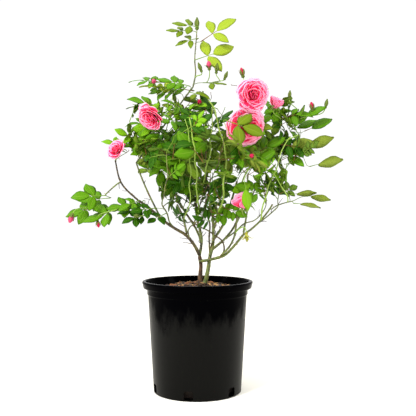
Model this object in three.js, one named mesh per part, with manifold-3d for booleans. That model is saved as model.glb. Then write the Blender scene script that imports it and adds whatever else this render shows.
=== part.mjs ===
// A shrub rose growing in a round nursery pot, as separate named solids: the pot, its potting mix, two stems,
// the boughs that leave them, and the masses of foliage that the boughs carry.
// Millimetres, +Z up, -Y is the front. The origin is the middle of the pot's flat underside.

import * as THREE from "three";
import { mergeVertices } from "three/addons/utils/BufferGeometryUtils.js";
import Module from "manifold-3d";

const wasm = await Module();
wasm.setup();

// ---------------------------------------------------------------- driving dimensions

const gap = 0.35; // clearance between one solid and the next
const pot = {
  height: 220,
  rimRadius: 111, // outside of the rolled rim
  rimBand: 14, // height of the rim's outer face
  shoulderRadius: 102.5, // outside of the stacking shoulder under the rim
  shoulderBand: 12,
  bodyRadius: 101, // outside of the tapering wall, at its top
  footRadius: 87.5, // and at the ground
  wall: 2,
  floor: 2.5,
  slots: 6, // drainage slots round the foot
  slotTurn: -10.5, // degrees from the front to the first slot
  slotWidth: 18,
  slotTop: 20,
  slotFoot: 2.6,
  notchDepth: 1.4, // shallow drain notches under the foot's edge
  notchReach: 5,
  sides: 34,
};
const mix = {
  crown: 212, // height of the level patch that the stems rise from
  crownRadius: 27,
  edge: 198, // height where it meets the wall
  clearance: 0.4,
};
const limbSides = 6;
const limbStep = 18; // length of one ring of a limb
const rootFlare = { share: 0.35, height: 14 };
const lobe = { count: 16, deepest: -0.34, tallest: 0.5, broadest: 5, narrowest: 14 };

// ---------------------------------------------------------------- materials

const paint = (color, roughness) =>
  new THREE.MeshStandardMaterial({ color, roughness, metalness: 0 });
const materials = {
  pot: paint(0x1b1b1c, 0.35),
  mix: paint(0x4a2f1c, 0.95),
  oldWood: paint(0x6f5a3a, 0.85),
  greenWood: paint(0x6f8442, 0.7),
  foliage: paint(0x3f7d2c, 0.6),
};

// ---------------------------------------------------------------- solids and geometries

/** A closed BufferGeometry as a manifold solid. */
function solidOf(geometry) {
  const bare = geometry.clone();
  bare.deleteAttribute("normal");
  bare.deleteAttribute("uv");
  const merged = mergeVertices(bare, 1e-3);
  return new wasm.Manifold(
    new wasm.Mesh({
      numProp: 3,
      vertProperties: merged.attributes.position.array,
      triVerts: new Uint32Array(merged.index.array),
    }),
  );
}

/** A manifold solid as a BufferGeometry. */
function geometryOf(solid) {
  const { numProp, vertProperties, triVerts } = solid.getMesh();
  const positions = new Float32Array((vertProperties.length / numProp) * 3);
  for (let i = 0; i < positions.length / 3; i++) {
    positions.set(vertProperties.subarray(i * numProp, i * numProp + 3), i * 3);
  }
  const geometry = new THREE.BufferGeometry();
  geometry.setAttribute("position", new THREE.BufferAttribute(positions, 3));
  geometry.setIndex(new THREE.BufferAttribute(new Uint32Array(triVerts), 1));
  geometry.computeVertexNormals();
  return geometry;
}

/** The solid less every cutter, keeping only its largest body. */
function trimmed(solid, cutters) {
  const left = cutters.reduce((rest, cutter) => rest.subtract(cutter), solid);
  return left.decompose().reduce((a, b) => (a.volume() > b.volume() ? a : b));
}

/** A repeatable run of numbers from 0 to 1. */
function numbersFrom(seed) {
  let state = seed * 2654435761;
  return () => {
    state = (state + 0x6d2b79f5) | 0;
    let t = Math.imul(state ^ (state >>> 15), 1 | state);
    t = (t + Math.imul(t ^ (t >>> 7), 61 | t)) ^ t;
    return ((t ^ (t >>> 14)) >>> 0) / 4294967296;
  };
}

// ---------------------------------------------------------------- the pot and its mix

/** The pot's outside radius at a height on its tapering wall. */
const wallRadiusAt = (z) =>
  THREE.MathUtils.lerp(pot.footRadius, pot.bodyRadius, z / pot.height);

/** The thin wall, rolled rim, stacking shoulder and flat floor, cut by the drainage slots and notches. */
function potSolid() {
  const rimFoot = pot.height - pot.rimBand;
  const shoulderFoot = rimFoot - pot.shoulderBand;
  const inner = (z) => wallRadiusAt(z) - pot.wall;
  const outline = [
    [0, 0],
    [pot.footRadius - 1.5, 0],
    [pot.footRadius, 1.5],
    [wallRadiusAt(shoulderFoot), shoulderFoot],
    [pot.shoulderRadius, shoulderFoot + 1],
    [pot.shoulderRadius, rimFoot - 1],
    [pot.rimRadius - 2.5, rimFoot],
    [pot.rimRadius, pot.height - 3],
    [pot.rimRadius - 2, pot.height],
    [pot.rimRadius - 7, pot.height],
    [inner(rimFoot), rimFoot],
    [inner(pot.floor), pot.floor],
    [0, pot.floor],
  ];
  const shell = new THREE.LatheGeometry(
    outline.map(([r, z]) => new THREE.Vector2(r, z)),
    pot.sides,
  ).rotateX(Math.PI / 2);
  const slotHeight = pot.slotTop - pot.slotFoot;
  const slot = () =>
    new THREE.BoxGeometry(6 * pot.wall, pot.slotWidth, slotHeight).translate(
      pot.footRadius,
      0,
      pot.slotFoot + slotHeight / 2,
    );
  const notch = () =>
    new THREE.BoxGeometry(2 * pot.notchReach, pot.slotWidth, 2 * pot.notchDepth).translate(
      pot.footRadius,
      0,
      0,
    );
  const cutters = [];
  for (let i = 0; i < pot.slots * 2; i++) {
    const turn = THREE.MathUtils.degToRad(pot.slotTurn - 90 + (i * 180) / pot.slots);
    cutters.push(solidOf(notch().rotateZ(turn)));
    if (i % 2 === 0) {
      cutters.push(solidOf(slot().rotateZ(turn)));
    }
  }
  return trimmed(solidOf(shell), cutters);
}

/** The potting mix that fills the pot, mounded towards the stems, with a level patch for their feet. */
function mixSolid() {
  const inner = (z) => wallRadiusAt(z) - pot.wall - mix.clearance;
  const foot = pot.floor + mix.clearance;
  const outline = [
    [0, foot],
    [inner(foot), foot],
    [inner(mix.edge), mix.edge],
    [(mix.crownRadius + inner(mix.edge)) / 2, mix.edge + (mix.crown - mix.edge) * 0.62],
    [mix.crownRadius, mix.crown],
    [0, mix.crown],
  ];
  const filling = new THREE.LatheGeometry(
    outline.map(([r, z]) => new THREE.Vector2(r, z)),
    pot.sides,
  ).rotateX(Math.PI / 2);
  return solidOf(filling);
}

// ---------------------------------------------------------------- stems and boughs

/**
 * One tapering limb along a smooth curve, with flat ends.
 * radii are at its foot and tip, flare widens a foot that stands in the mix, and grow adds to every radius.
 */
function limbSolid({ route, radii, flare = false }, grow = 0) {
  const curve = new THREE.CatmullRomCurve3(
    route.map((point) => new THREE.Vector3(...point)),
    false,
    "centripetal",
  );
  const length = curve.getLength();
  const rings = Math.max(3, Math.round(length / limbStep));
  const frames = curve.computeFrenetFrames(rings);
  const positions = [];
  const faces = [];
  for (let i = 0; i <= rings; i++) {
    const share = i / rings;
    const centre = curve.getPointAt(share);
    const spread = flare
      ? 1 + rootFlare.share * Math.exp((-share * length) / rootFlare.height)
      : 1;
    const radius = THREE.MathUtils.lerp(...radii, share) * spread + grow;
    for (let k = 0; k < limbSides; k++) {
      const angle = (2 * Math.PI * k) / limbSides;
      let spoke = frames.normals[i]
        .clone()
        .multiplyScalar(Math.cos(angle))
        .addScaledVector(frames.binormals[i], Math.sin(angle));
      if (flare && i === 0) {
        spoke = new THREE.Vector3(Math.cos(angle), Math.sin(angle), 0);
      }
      positions.push(...centre.clone().addScaledVector(spoke, radius));
    }
  }
  for (let i = 0; i < rings; i++) {
    for (let k = 0; k < limbSides; k++) {
      const a = i * limbSides + k;
      const b = i * limbSides + ((k + 1) % limbSides);
      faces.push(a, b, b + limbSides, a, b + limbSides, a + limbSides);
    }
  }
  for (let k = 1; k < limbSides - 1; k++) {
    const last = rings * limbSides;
    faces.push(0, k + 1, k, last, last + k, last + k + 1);
  }
  const geometry = new THREE.BufferGeometry();
  geometry.setAttribute(
    "position",
    new THREE.Float32BufferAttribute(positions, 3),
  );
  geometry.setIndex(faces);
  return solidOf(geometry);
}

// Two stems stand in the mix. The level cut at each foot rests on its crown.
const stems = [
  {
    name: "stem_brown",
    wood: "oldWood",
    radii: [5.2, 4.4],
    flare: true,
    route: [
      [4, 5, mix.crown + gap],
      [6, 5, 234],
      [7, 4, 252],
      [3.5, 3, 271],
    ],
  },
  {
    name: "stem_green",
    wood: "greenWood",
    radii: [5, 3.9],
    flare: true,
    route: [
      [14, -9, mix.crown + gap],
      [19.5, -9, 234],
      [23.5, -7, 256],
      [25, -5, 273],
      [31, -5, 289],
      [32, -5, 305],
    ],
  },
];

// Boughs, each from where it leaves its parent to inside the foliage that it carries.
const boughs = [
  {
    name: "bough_left_low",
    radii: [4.1, 2.8],
    route: [
      [3.5, 3, 270],
      [-2, 0, 284],
      [-11, -4, 298],
      [-23, -8, 312],
      [-46, -16, 325],
      [-70, -24, 343],
      [-101, -35, 371],
      [-121, -39, 383],
    ],
  },
  {
    name: "bough_left_rise",
    radii: [2.6, 1.7],
    route: [
      [-121, -39, 383],
      [-137, -41, 400],
      [-150, -42, 416],
      [-155, -42, 437],
      [-160, -41, 462],
    ],
  },
  {
    name: "bough_left_arm",
    radii: [1.9, 1.4],
    route: [
      [-150, -42, 416],
      [-161, -43, 407],
      [-172, -44, 397],
      [-190, -46, 378],
    ],
  },
  {
    name: "bough_left",
    radii: [2.5, 1.8],
    route: [
      [-72, -25, 345],
      [-84, -20, 368],
      [-98, -15, 396],
      [-112, -12, 428],
      [-122, -10, 456],
    ],
  },
  {
    name: "bough_left_inner",
    radii: [2.9, 2],
    route: [
      [-21, -7, 310],
      [-25, 1, 331],
      [-33, 8, 356],
      [-48, 14, 384],
    ],
  },
  {
    name: "bough_leader",
    radii: [3.8, 2.7],
    route: [
      [3.5, 3, 270],
      [7, 7, 285],
      [9, 11, 300],
      [4, 17, 323],
      [-2, 19, 348],
      [-3, 18, 385],
    ],
  },
  {
    name: "bough_back_left",
    radii: [3, 2.1],
    route: [
      [8, 10, 297],
      [-5, 36, 325],
      [-30, 64, 362],
      [-56, 86, 412],
      [-66, 94, 450],
    ],
  },
  {
    name: "bough_back",
    radii: [2.8, 2],
    route: [
      [3, 17, 324],
      [10, 42, 345],
      [16, 64, 374],
      [18, 72, 400],
    ],
  },
  {
    name: "bough_centre",
    radii: [3.4, 2.5],
    route: [
      [32, -5, 304],
      [31, -8, 325],
      [31, -13, 345],
      [23, -22, 375],
    ],
  },
  {
    name: "bough_front",
    radii: [2.7, 2],
    route: [
      [31, -8, 324],
      [39, -32, 345],
      [36, -60, 372],
      [30, -80, 405],
    ],
  },
  {
    name: "bough_right_centre",
    radii: [3.4, 2.3],
    route: [
      [32, -5, 304],
      [41, 0, 314],
      [53, 6, 334],
      [60, 11, 353],
      [70, 15, 384],
      [80, 18, 420],
    ],
  },
  {
    name: "bough_back_right",
    radii: [3.1, 2.1],
    route: [
      [26, -4, 279],
      [38, 6, 288],
      [56, 20, 303],
      [76, 38, 328],
      [94, 60, 366],
      [104, 80, 410],
      [106, 90, 450],
    ],
  },
  {
    name: "bough_right_low",
    radii: [3.7, 3],
    route: [
      [6, -1, 259],
      [18, -16.5, 261],
      [34, -16.5, 265],
      [52, -13, 269],
      [60, -11, 275],
      [68, -11, 284],
      [80, -11, 298],
      [91, -12, 312],
    ],
  },
  {
    name: "bough_right_second",
    radii: [2.6, 1.9],
    route: [
      [42, -15, 267],
      [60, -21, 284],
      [72, -26, 305],
      [76, -31, 330],
      [80, -38, 372],
      [84, -48, 410],
    ],
  },
  {
    name: "bough_right_rise",
    radii: [2.5, 1.9],
    route: [
      [91, -12, 312],
      [94, -11, 330],
      [97, -10, 346],
      [103, -8, 385],
    ],
  },
  {
    name: "bough_right_arch",
    radii: [2.6, 2],
    route: [
      [91, -12, 312],
      [110, -13, 325],
      [126, -15, 341],
      [140, -17, 358],
      [149, -19, 373],
      [156, -21, 398],
    ],
  },
  {
    name: "bough_right_arm",
    radii: [1.6, 1.2],
    route: [
      [141, -17, 359],
      [156, -21, 370],
      [171, -24, 375],
      [205, -27, 382],
    ],
  },
];

// The long shoot that stands above the crown stays whole, and the foliage beside it is cut round it.
const leadShoot = {
  name: "lead_shoot",
  radii: [2.1, 1.2],
  route: [
    [-10, -4, 588],
    [-9, -3, 610],
    [-3, -1, 632],
    [-6, 0, 660],
    [-4, 0, 684],
    [-1, 0, 722],
  ],
};

// ---------------------------------------------------------------- foliage

/**
 * One uneven closed mass of leaves: a sphere pushed in and out by seeded lobes, then fitted to its half sizes.
 * lean turns it about Y, in degrees, and grow moves its skin outwards.
 */
function foliageSolid({ centre, half, lean = 0, seed, detail = 2 }, grow = 0) {
  const random = numbersFrom(seed);
  const geometry = mergeVertices(
    new THREE.IcosahedronGeometry(1, detail)
      .deleteAttribute("normal")
      .deleteAttribute("uv"),
    1e-4,
  );
  const lobes = Array.from({ length: lobe.count }, () => ({
    towards: new THREE.Vector3(random() - 0.5, random() - 0.5, random() - 0.5).normalize(),
    height: THREE.MathUtils.lerp(lobe.deepest, lobe.tallest, random()),
    sharpness: THREE.MathUtils.lerp(lobe.broadest, lobe.narrowest, random()),
  }));
  const position = geometry.attributes.position;
  const point = new THREE.Vector3();
  for (let i = 0; i < position.count; i++) {
    point.fromBufferAttribute(position, i).normalize();
    const reach = lobes.reduce(
      (sum, { towards, height, sharpness }) =>
        sum + height * Math.exp(sharpness * (point.dot(towards) - 1)),
      1,
    );
    position.setXYZ(i, ...point.multiplyScalar(reach));
  }
  geometry.computeBoundingBox();
  const size = geometry.boundingBox.getSize(new THREE.Vector3());
  const middle = geometry.boundingBox.getCenter(new THREE.Vector3());
  geometry
    .translate(-middle.x, -middle.y, -middle.z)
    .scale((2 * half[0]) / size.x, (2 * half[1]) / size.y, (2 * half[2]) / size.z);
  if (grow) {
    geometry.computeVertexNormals();
    const normal = geometry.attributes.normal;
    for (let i = 0; i < position.count; i++) {
      point
        .fromBufferAttribute(position, i)
        .add(new THREE.Vector3().fromBufferAttribute(normal, i).multiplyScalar(grow));
      position.setXYZ(i, ...point);
    }
  }
  geometry.rotateY(THREE.MathUtils.degToRad(lean)).translate(...centre);
  return solidOf(geometry);
}

// The masses, by where they sit in the bush. A later one is cut back from those before it.
const foliage = [
  { name: "foliage_top_right", centre: [32, 6, 702], half: [29, 17, 56], lean: 36 },
  { name: "foliage_top_left", centre: [-33, -3, 716], half: [34, 14, 19], lean: 8, detail: 1 },
  { name: "foliage_buds", centre: [30, -14, 614], half: [30, 26, 32] },
  { name: "foliage_left_top", centre: [-84, 14, 614], half: [62, 34, 22], lean: 10 },
  { name: "foliage_left_shoulder", centre: [-100, -44, 553], half: [48, 44, 38] },
  { name: "foliage_left_tip", centre: [-158, -42, 488], half: [25, 26, 34] },
  { name: "foliage_left_middle", centre: [-94, -26, 482], half: [54, 60, 36] },
  { name: "foliage_front", centre: [16, -104, 492], half: [62, 54, 56] },
  { name: "foliage_heart", centre: [2, -4, 550], half: [74, 62, 56] },
  { name: "foliage_blooms", centre: [108, -40, 560], half: [44, 48, 66] },
  { name: "foliage_right_shoulder", centre: [178, 4, 556], half: [48, 46, 42] },
  { name: "foliage_right_upper_tip", centre: [242, -2, 548], half: [34, 24, 22], lean: -8 },
  { name: "foliage_right_far", centre: [254, -22, 478], half: [36, 24, 30] },
  { name: "foliage_right_middle", centre: [168, -22, 476], half: [60, 56, 42] },
  { name: "foliage_right_low", centre: [146, -26, 406], half: [48, 42, 34] },
  { name: "foliage_right_arm", centre: [226, -28, 384], half: [38, 20, 15], detail: 1 },
  { name: "foliage_front_right", centre: [94, -104, 458], half: [44, 50, 52] },
  { name: "foliage_low_bloom", centre: [88, -54, 384], half: [32, 26, 30] },
  { name: "foliage_front_left", centre: [-50, -100, 458], half: [42, 46, 42] },
  { name: "foliage_under_front", centre: [6, -58, 408], half: [60, 50, 38] },
  { name: "foliage_left_inner", centre: [-62, 12, 410], half: [38, 40, 36] },
  { name: "foliage_left_arm_tip", centre: [-214, -48, 370], half: [44, 30, 34] },
  { name: "foliage_left_arm", centre: [-146, -44, 378], half: [30, 22, 20], detail: 1 },
  { name: "foliage_left_spray", centre: [-106, -52, 350], half: [42, 30, 18], detail: 1 },
  { name: "foliage_back_left", centre: [-80, 98, 486], half: [66, 60, 62] },
  { name: "foliage_back_right", centre: [106, 96, 492], half: [72, 62, 64] },
  { name: "foliage_back", centre: [14, 146, 494], half: [52, 42, 56] },
  { name: "foliage_back_top", centre: [-18, 78, 572], half: [56, 38, 30] },
  { name: "foliage_back_low", centre: [18, 74, 414], half: [60, 48, 38] },
].map((mass, i) => ({ ...mass, seed: 11 + 7 * i }));

// ---------------------------------------------------------------- assembly

const bush = new THREE.Group();
bush.name = "rose_bush";

/** Adds one named solid to the bush. */
function add(name, solid, material) {
  const mesh = new THREE.Mesh(geometryOf(solid), material);
  mesh.name = name;
  bush.add(mesh);
}

add("pot", potSolid(), materials.pot);
add("potting_mix", mixSolid(), materials.mix);

const shootCutter = limbSolid(leadShoot, gap);
const leafCutters = [];
for (const mass of foliage) {
  const solid = trimmed(foliageSolid(mass), [...leafCutters, shootCutter]);
  leafCutters.push(foliageSolid(mass, gap));
  add(mass.name, solid, materials.foliage);
}

const woodCutters = [];
for (const limb of [...stems, ...boughs]) {
  const solid = trimmed(limbSolid(limb), [...woodCutters, ...leafCutters]);
  woodCutters.push(limbSolid(limb, gap));
  add(limb.name, solid, materials[limb.wood ?? "greenWood"]);
}
const shootFoot = leafCutters[foliage.findIndex(({ name }) => name === "foliage_heart")];
add(leadShoot.name, trimmed(limbSolid(leadShoot), [shootFoot]), materials.greenWood);

export default bush;
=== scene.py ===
"""A potted shrub rose in bloom: pot, potting mix, canes, shoots, leaves, buds and double pink blooms.

The packed solids give every place and size. The canes follow the solid stems and boughs, shoots grow on from
them by a seeded rule into the foliage solids, and leaves, buds and blooms hang on those shoots.
Lengths are metres, or millimetres where a name ends in mm, and colours are sRGB hex. +Z is up and -Y is
the front.
"""

import logging
import math
from dataclasses import dataclass, field
from enum import IntEnum
from functools import lru_cache
from typing import Callable, Iterable, Sequence

import bmesh
import bpy
import numpy as np
from bpy.types import Collection, Material, Mesh, Node, NodeTree
from mathutils import Matrix, Quaternion, Vector, noise
from mathutils.bvhtree import BVHTree


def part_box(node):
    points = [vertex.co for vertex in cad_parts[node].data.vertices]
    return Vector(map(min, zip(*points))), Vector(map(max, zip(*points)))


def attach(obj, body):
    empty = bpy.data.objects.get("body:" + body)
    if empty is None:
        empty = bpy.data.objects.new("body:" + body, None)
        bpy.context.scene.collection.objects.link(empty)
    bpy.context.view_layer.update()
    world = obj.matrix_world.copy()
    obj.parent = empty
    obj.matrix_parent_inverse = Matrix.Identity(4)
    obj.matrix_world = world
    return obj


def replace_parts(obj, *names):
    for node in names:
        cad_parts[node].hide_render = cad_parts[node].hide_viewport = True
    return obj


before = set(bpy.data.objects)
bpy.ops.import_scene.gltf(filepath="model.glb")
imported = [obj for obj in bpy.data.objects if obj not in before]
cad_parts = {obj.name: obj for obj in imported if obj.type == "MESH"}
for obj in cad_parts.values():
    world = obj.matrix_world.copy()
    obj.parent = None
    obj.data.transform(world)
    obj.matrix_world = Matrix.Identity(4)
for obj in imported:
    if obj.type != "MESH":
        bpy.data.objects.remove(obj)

log = logging.getLogger("rose")

Triple = tuple[float, float, float]
Faces = list[tuple[int, ...]]

MM = 0.001
UP = Vector((0.0, 0.0, 1.0))
GOLDEN_ANGLE = math.radians(137.5)
ROOT = "root"
NOISE_SEED = 19


# ---- node helpers


def linear(hex_code: str) -> tuple[float, float, float, float]:
    """Turn an sRGB hex colour into the linear values that shaders take."""
    channels = [value / 255 for value in bytes.fromhex(hex_code[1:])]
    return (*[c / 12.92 if c <= 0.04045 else ((c + 0.055) / 1.055) ** 2.4 for c in channels], 1.0)


def mixed(first: str, second: str, share: float) -> str:
    """The hex colour that lies a share of the way from one to another."""
    pairs = zip(bytes.fromhex(first[1:]), bytes.fromhex(second[1:]))
    return "#" + bytes(round(a + (b - a) * share) for a, b in pairs).hex()


def feed(node: Node, inputs: dict[str | int, object]) -> None:
    """Fill a node's inputs.

    Args:
        node: The node.
        inputs: Value, output socket, or node whose first live output is taken, for each socket name or index.
    """
    for key, value in inputs.items():
        if isinstance(value, Node):
            value = next(socket for socket in value.outputs if socket.enabled)
        if isinstance(value, bpy.types.NodeSocket):
            node.id_data.links.new(value, node.inputs[key])
        else:
            node.inputs[key].default_value = value


def add_node(
    tree: NodeTree, kind: str, inputs: dict[str | int, object] | None = None, **settings: object
) -> Node:
    """Add one node with its settings, and fill its inputs.

    Args:
        tree: Node tree that takes the node.
        kind: Blender's type name of the node.
        inputs: What each input holds, as feed takes it.
        **settings: Properties of the node itself.

    Returns:
        The new node.
    """
    new = tree.nodes.new(kind)
    for key, value in settings.items():
        setattr(new, key, value)
    feed(new, inputs or {})
    return new


# ---- finishes


@dataclass(frozen=True)
class Finish:
    """A named finish. Each kind says what its shader takes."""

    name: str

    def inputs(self, tree: NodeTree) -> dict[str, object]:
        """What the shader takes: values, and the nodes that are added to the tree for it."""
        raise NotImplementedError

    def material(self) -> Material:
        """Build the material.

        Returns:
            The material.
        """
        made = bpy.data.materials.new(self.name)
        made.use_nodes = True
        feed(made.node_tree.nodes["Principled BSDF"], self.inputs(made.node_tree))
        return made


@dataclass(frozen=True)
class LivingSkin(Finish):
    """The thin living skin of a leaf, petal or green stalk: one plain colour, with a soft broken gloss."""

    colour: str
    roughness: float = 0.45
    grain_mm: float = 1.6
    relief_mm: float = 0.05
    glow: float = 0.0

    def inputs(self, tree: NodeTree) -> dict[str, object]:
        """A plain colour on the shader's own socket, under fine cells.

        Args:
            tree: Node tree of the material.

        Returns:
            What the shader takes.
        """
        place = add_node(tree, "ShaderNodeTexCoord").outputs["Object"]
        grain = {"Vector": place, "Scale": 1 / (self.grain_mm * MM), "Detail": 2}
        cells = add_node(tree, "ShaderNodeTexNoise", grain)
        gloss = {"Value": cells, "To Min": self.roughness - 0.1, "To Max": self.roughness + 0.1}
        relief = {"Height": cells, "Distance": self.relief_mm * MM, "Strength": 0.6}
        return {
            "Base Color": linear(self.colour),
            "IOR": 1.45,
            "Specular IOR Level": 0.08,
            "Subsurface Weight": self.glow,
            "Subsurface Radius": (1.0, 0.8, 0.4),
            "Subsurface Scale": 2 * MM,
            "Roughness": add_node(tree, "ShaderNodeMapRange", gloss),
            "Normal": add_node(tree, "ShaderNodeBump", relief),
        }


@dataclass(frozen=True)
class VeinedBlade(Finish):
    """Upper or lower face of a leaflet: plain green, with side veins pressed into it along its own map.

    The map's U runs across the leaflet with the midrib at 0.5, and V runs to the tip.
    """

    colour: str
    roughness: float = 0.42
    veins: int = 9
    relief_mm: float = 0.25  # less than 0 where the veins stand proud

    def inputs(self, tree: NodeTree) -> dict[str, object]:
        """A plain colour on the shader's own socket, under veins that slant back from the midrib.

        Args:
            tree: Node tree of the material.

        Returns:
            What the shader takes.
        """
        place = add_node(tree, "ShaderNodeUVMap", uv_map="blade")
        apart = add_node(tree, "ShaderNodeSeparateXYZ", {"Vector": place}).outputs
        across = add_node(tree, "ShaderNodeMath", {0: apart["X"], 1: 0.5}, operation="SUBTRACT")
        off_rib = add_node(tree, "ShaderNodeMath", {0: across}, operation="ABSOLUTE")
        slant = {0: off_rib, 1: -0.55, 2: apart["Y"]}
        back = add_node(tree, "ShaderNodeMath", slant, operation="MULTIPLY_ADD")
        phase = add_node(tree, "ShaderNodeMath", {0: back, 1: 2 * math.pi * self.veins}, operation="MULTIPLY")
        wave = add_node(tree, "ShaderNodeMath", {0: phase}, operation="SINE")
        ridge = {"Value": wave, "From Min": 0.55, "From Max": 1.0, "To Min": 1.0, "To Max": 0.0}
        vein = add_node(tree, "ShaderNodeMapRange", ridge)
        gloss = {"Value": vein, "To Min": self.roughness + 0.15, "To Max": self.roughness}
        relief = {"Height": vein, "Distance": self.relief_mm * MM, "Strength": 0.5}
        return {
            "Base Color": linear(self.colour),
            "IOR": 1.45,
            "Specular IOR Level": 0.08,
            "Roughness": add_node(tree, "ShaderNodeMapRange", gloss),
            "Normal": add_node(tree, "ShaderNodeBump", relief),
        }


@dataclass(frozen=True)
class Bark(Finish):
    """Skin of a rose cane: colours in long streaks, with fine lengthwise cracks and raised pores."""

    colours: tuple[str, ...]
    streak_mm: float = 2.2
    relief_mm: float = 0.5
    roughness: float = 0.7

    def inputs(self, tree: NodeTree) -> dict[str, object]:
        """Streaks drawn out along the upright, over broad blotches.

        Args:
            tree: Node tree of the material.

        Returns:
            What the shader takes.
        """
        place = add_node(tree, "ShaderNodeTexCoord").outputs["Object"]
        drawn_out = add_node(tree, "ShaderNodeMapping", {"Vector": place, "Scale": (1.0, 1.0, 0.22)})
        fine = {"Vector": drawn_out, "Scale": 1 / (self.streak_mm * MM), "Detail": 5, "Roughness": 0.6}
        streaks = add_node(tree, "ShaderNodeTexNoise", fine)
        broad = {"Vector": place, "Scale": 1 / (18 * MM), "Detail": 3}
        blotches = add_node(tree, "ShaderNodeTexNoise", broad)
        blend = add_node(tree, "ShaderNodeMath", {0: streaks, 1: blotches}, operation="ADD")
        span = add_node(tree, "ShaderNodeMapRange", {"Value": blend, "From Min": 0.75, "From Max": 1.25})
        ramp = add_node(tree, "ShaderNodeValToRGB", {"Fac": span})
        stops = ramp.color_ramp.elements
        stops[0].color = linear(self.colours[0])
        stops[1].color = linear(self.colours[-1])
        for i, colour in enumerate(self.colours[1:-1], start=1):
            stops.new(i / (len(self.colours) - 1)).color = linear(colour)
        gloss = {"Value": streaks, "To Min": self.roughness + 0.12, "To Max": self.roughness - 0.12}
        relief = {"Height": streaks, "Distance": self.relief_mm * MM, "Strength": 0.8}
        return {
            "Base Color": ramp,
            "Roughness": add_node(tree, "ShaderNodeMapRange", gloss),
            "Normal": add_node(tree, "ShaderNodeBump", relief),
        }


@dataclass(frozen=True)
class BlackPolythene(Finish):
    """Blow-moulded black polythene of a grower's pot: dull satin, dusty low down, with faint scuffs."""

    name: str = "black_polythene"
    fresh: str = "#000001"
    # Colour of the lower wall: dust together with a painted reflection of the floor.
    dust_and_floor_reflection: str = "#050504"
    scuffed: str = "#262522"
    peel_mm: float = 3.0

    def inputs(self, tree: NodeTree) -> dict[str, object]:
        """Clean plastic above and dust below a ragged line, with scuffs all over.

        Args:
            tree: Node tree of the material.

        Returns:
            What the shader takes.
        """
        place = add_node(tree, "ShaderNodeTexCoord").outputs["Object"]
        upright = add_node(tree, "ShaderNodeMapping", {"Vector": place, "Scale": (1.0, 1.0, 0.35)})
        ragged_line_wander = {"Vector": upright, "Scale": 1 / (35 * MM), "Detail": 6, "Roughness": 0.65}
        ragged_line_noise = add_node(tree, "ShaderNodeTexNoise", ragged_line_wander)
        height = add_node(tree, "ShaderNodeSeparateXYZ", {"Vector": place}).outputs["Z"]
        ragged = add_node(tree, "ShaderNodeMath", {0: ragged_line_noise, 1: 0.16, 2: height}, operation="MULTIPLY_ADD")
        line = {"Value": ragged, "From Min": 0.255, "From Max": 0.205}
        dust_and_reflection_mask = add_node(tree, "ShaderNodeMapRange", line, interpolation_type="SMOOTHSTEP")
        # Below the ragged line the black lifts to a lighter colour: dust together with a painted reflection
        # of the floor.
        coats = {0: dust_and_reflection_mask, 6: linear(self.fresh), 7: linear(self.dust_and_floor_reflection)}
        dust_and_reflection_coat = add_node(tree, "ShaderNodeMix", coats, data_type="RGBA")
        marks = {"Vector": place, "Scale": 1 / (9 * MM), "Detail": 8, "Roughness": 0.75}
        scuff = add_node(tree, "ShaderNodeTexNoise", marks)
        worn = {"Value": scuff, "From Min": 0.64, "From Max": 0.74, "To Max": 0.35}
        rubbed = add_node(tree, "ShaderNodeMapRange", worn)
        peel = {"Vector": place, "Scale": 1 / (self.peel_mm * MM), "Detail": 2}
        cells = add_node(tree, "ShaderNodeTexNoise", peel)
        relief = {"Height": cells, "Distance": 0.12 * MM, "Strength": 0.35}
        gloss = {"Value": dust_and_reflection_mask, "To Min": 0.16, "To Max": 0.36}
        sheen = {"Value": dust_and_reflection_mask, "To Min": 0.008, "To Max": 0.062}
        colours = {0: rubbed, 6: dust_and_reflection_coat, 7: linear(self.scuffed)}
        return {
            "IOR": 1.5,
            "Base Color": add_node(tree, "ShaderNodeMix", colours, data_type="RGBA"),
            "Roughness": add_node(tree, "ShaderNodeMapRange", gloss),
            "Specular IOR Level": add_node(tree, "ShaderNodeMapRange", sheen),
            "Normal": add_node(tree, "ShaderNodeBump", relief),
        }


@dataclass(frozen=True)
class MilledBark(Finish):
    """Shredded conifer bark of a potting mix: dull and fibrous, its grain along each chip."""

    dark: str
    light: str
    grain_mm: float = 1.4

    def inputs(self, tree: NodeTree) -> dict[str, object]:
        """Two colours in coarse fibres.

        Args:
            tree: Node tree of the material.

        Returns:
            What the shader takes.
        """
        place = add_node(tree, "ShaderNodeTexCoord").outputs["Object"]
        grain = {"Vector": place, "Scale": 1 / (self.grain_mm * MM), "Detail": 4, "Roughness": 0.7}
        fibres = add_node(tree, "ShaderNodeTexNoise", grain)
        span = add_node(tree, "ShaderNodeMapRange", {"Value": fibres, "From Min": 0.35, "From Max": 0.65})
        colours = {0: span, 6: linear(self.dark), 7: linear(self.light)}
        gloss = {"Value": fibres, "To Min": 0.95, "To Max": 0.75}
        relief = {"Height": fibres, "Distance": 0.6 * MM, "Strength": 0.9}
        return {
            "Base Color": add_node(tree, "ShaderNodeMix", colours, data_type="RGBA"),
            "Roughness": add_node(tree, "ShaderNodeMapRange", gloss),
            "Normal": add_node(tree, "ShaderNodeBump", relief),
        }


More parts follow.
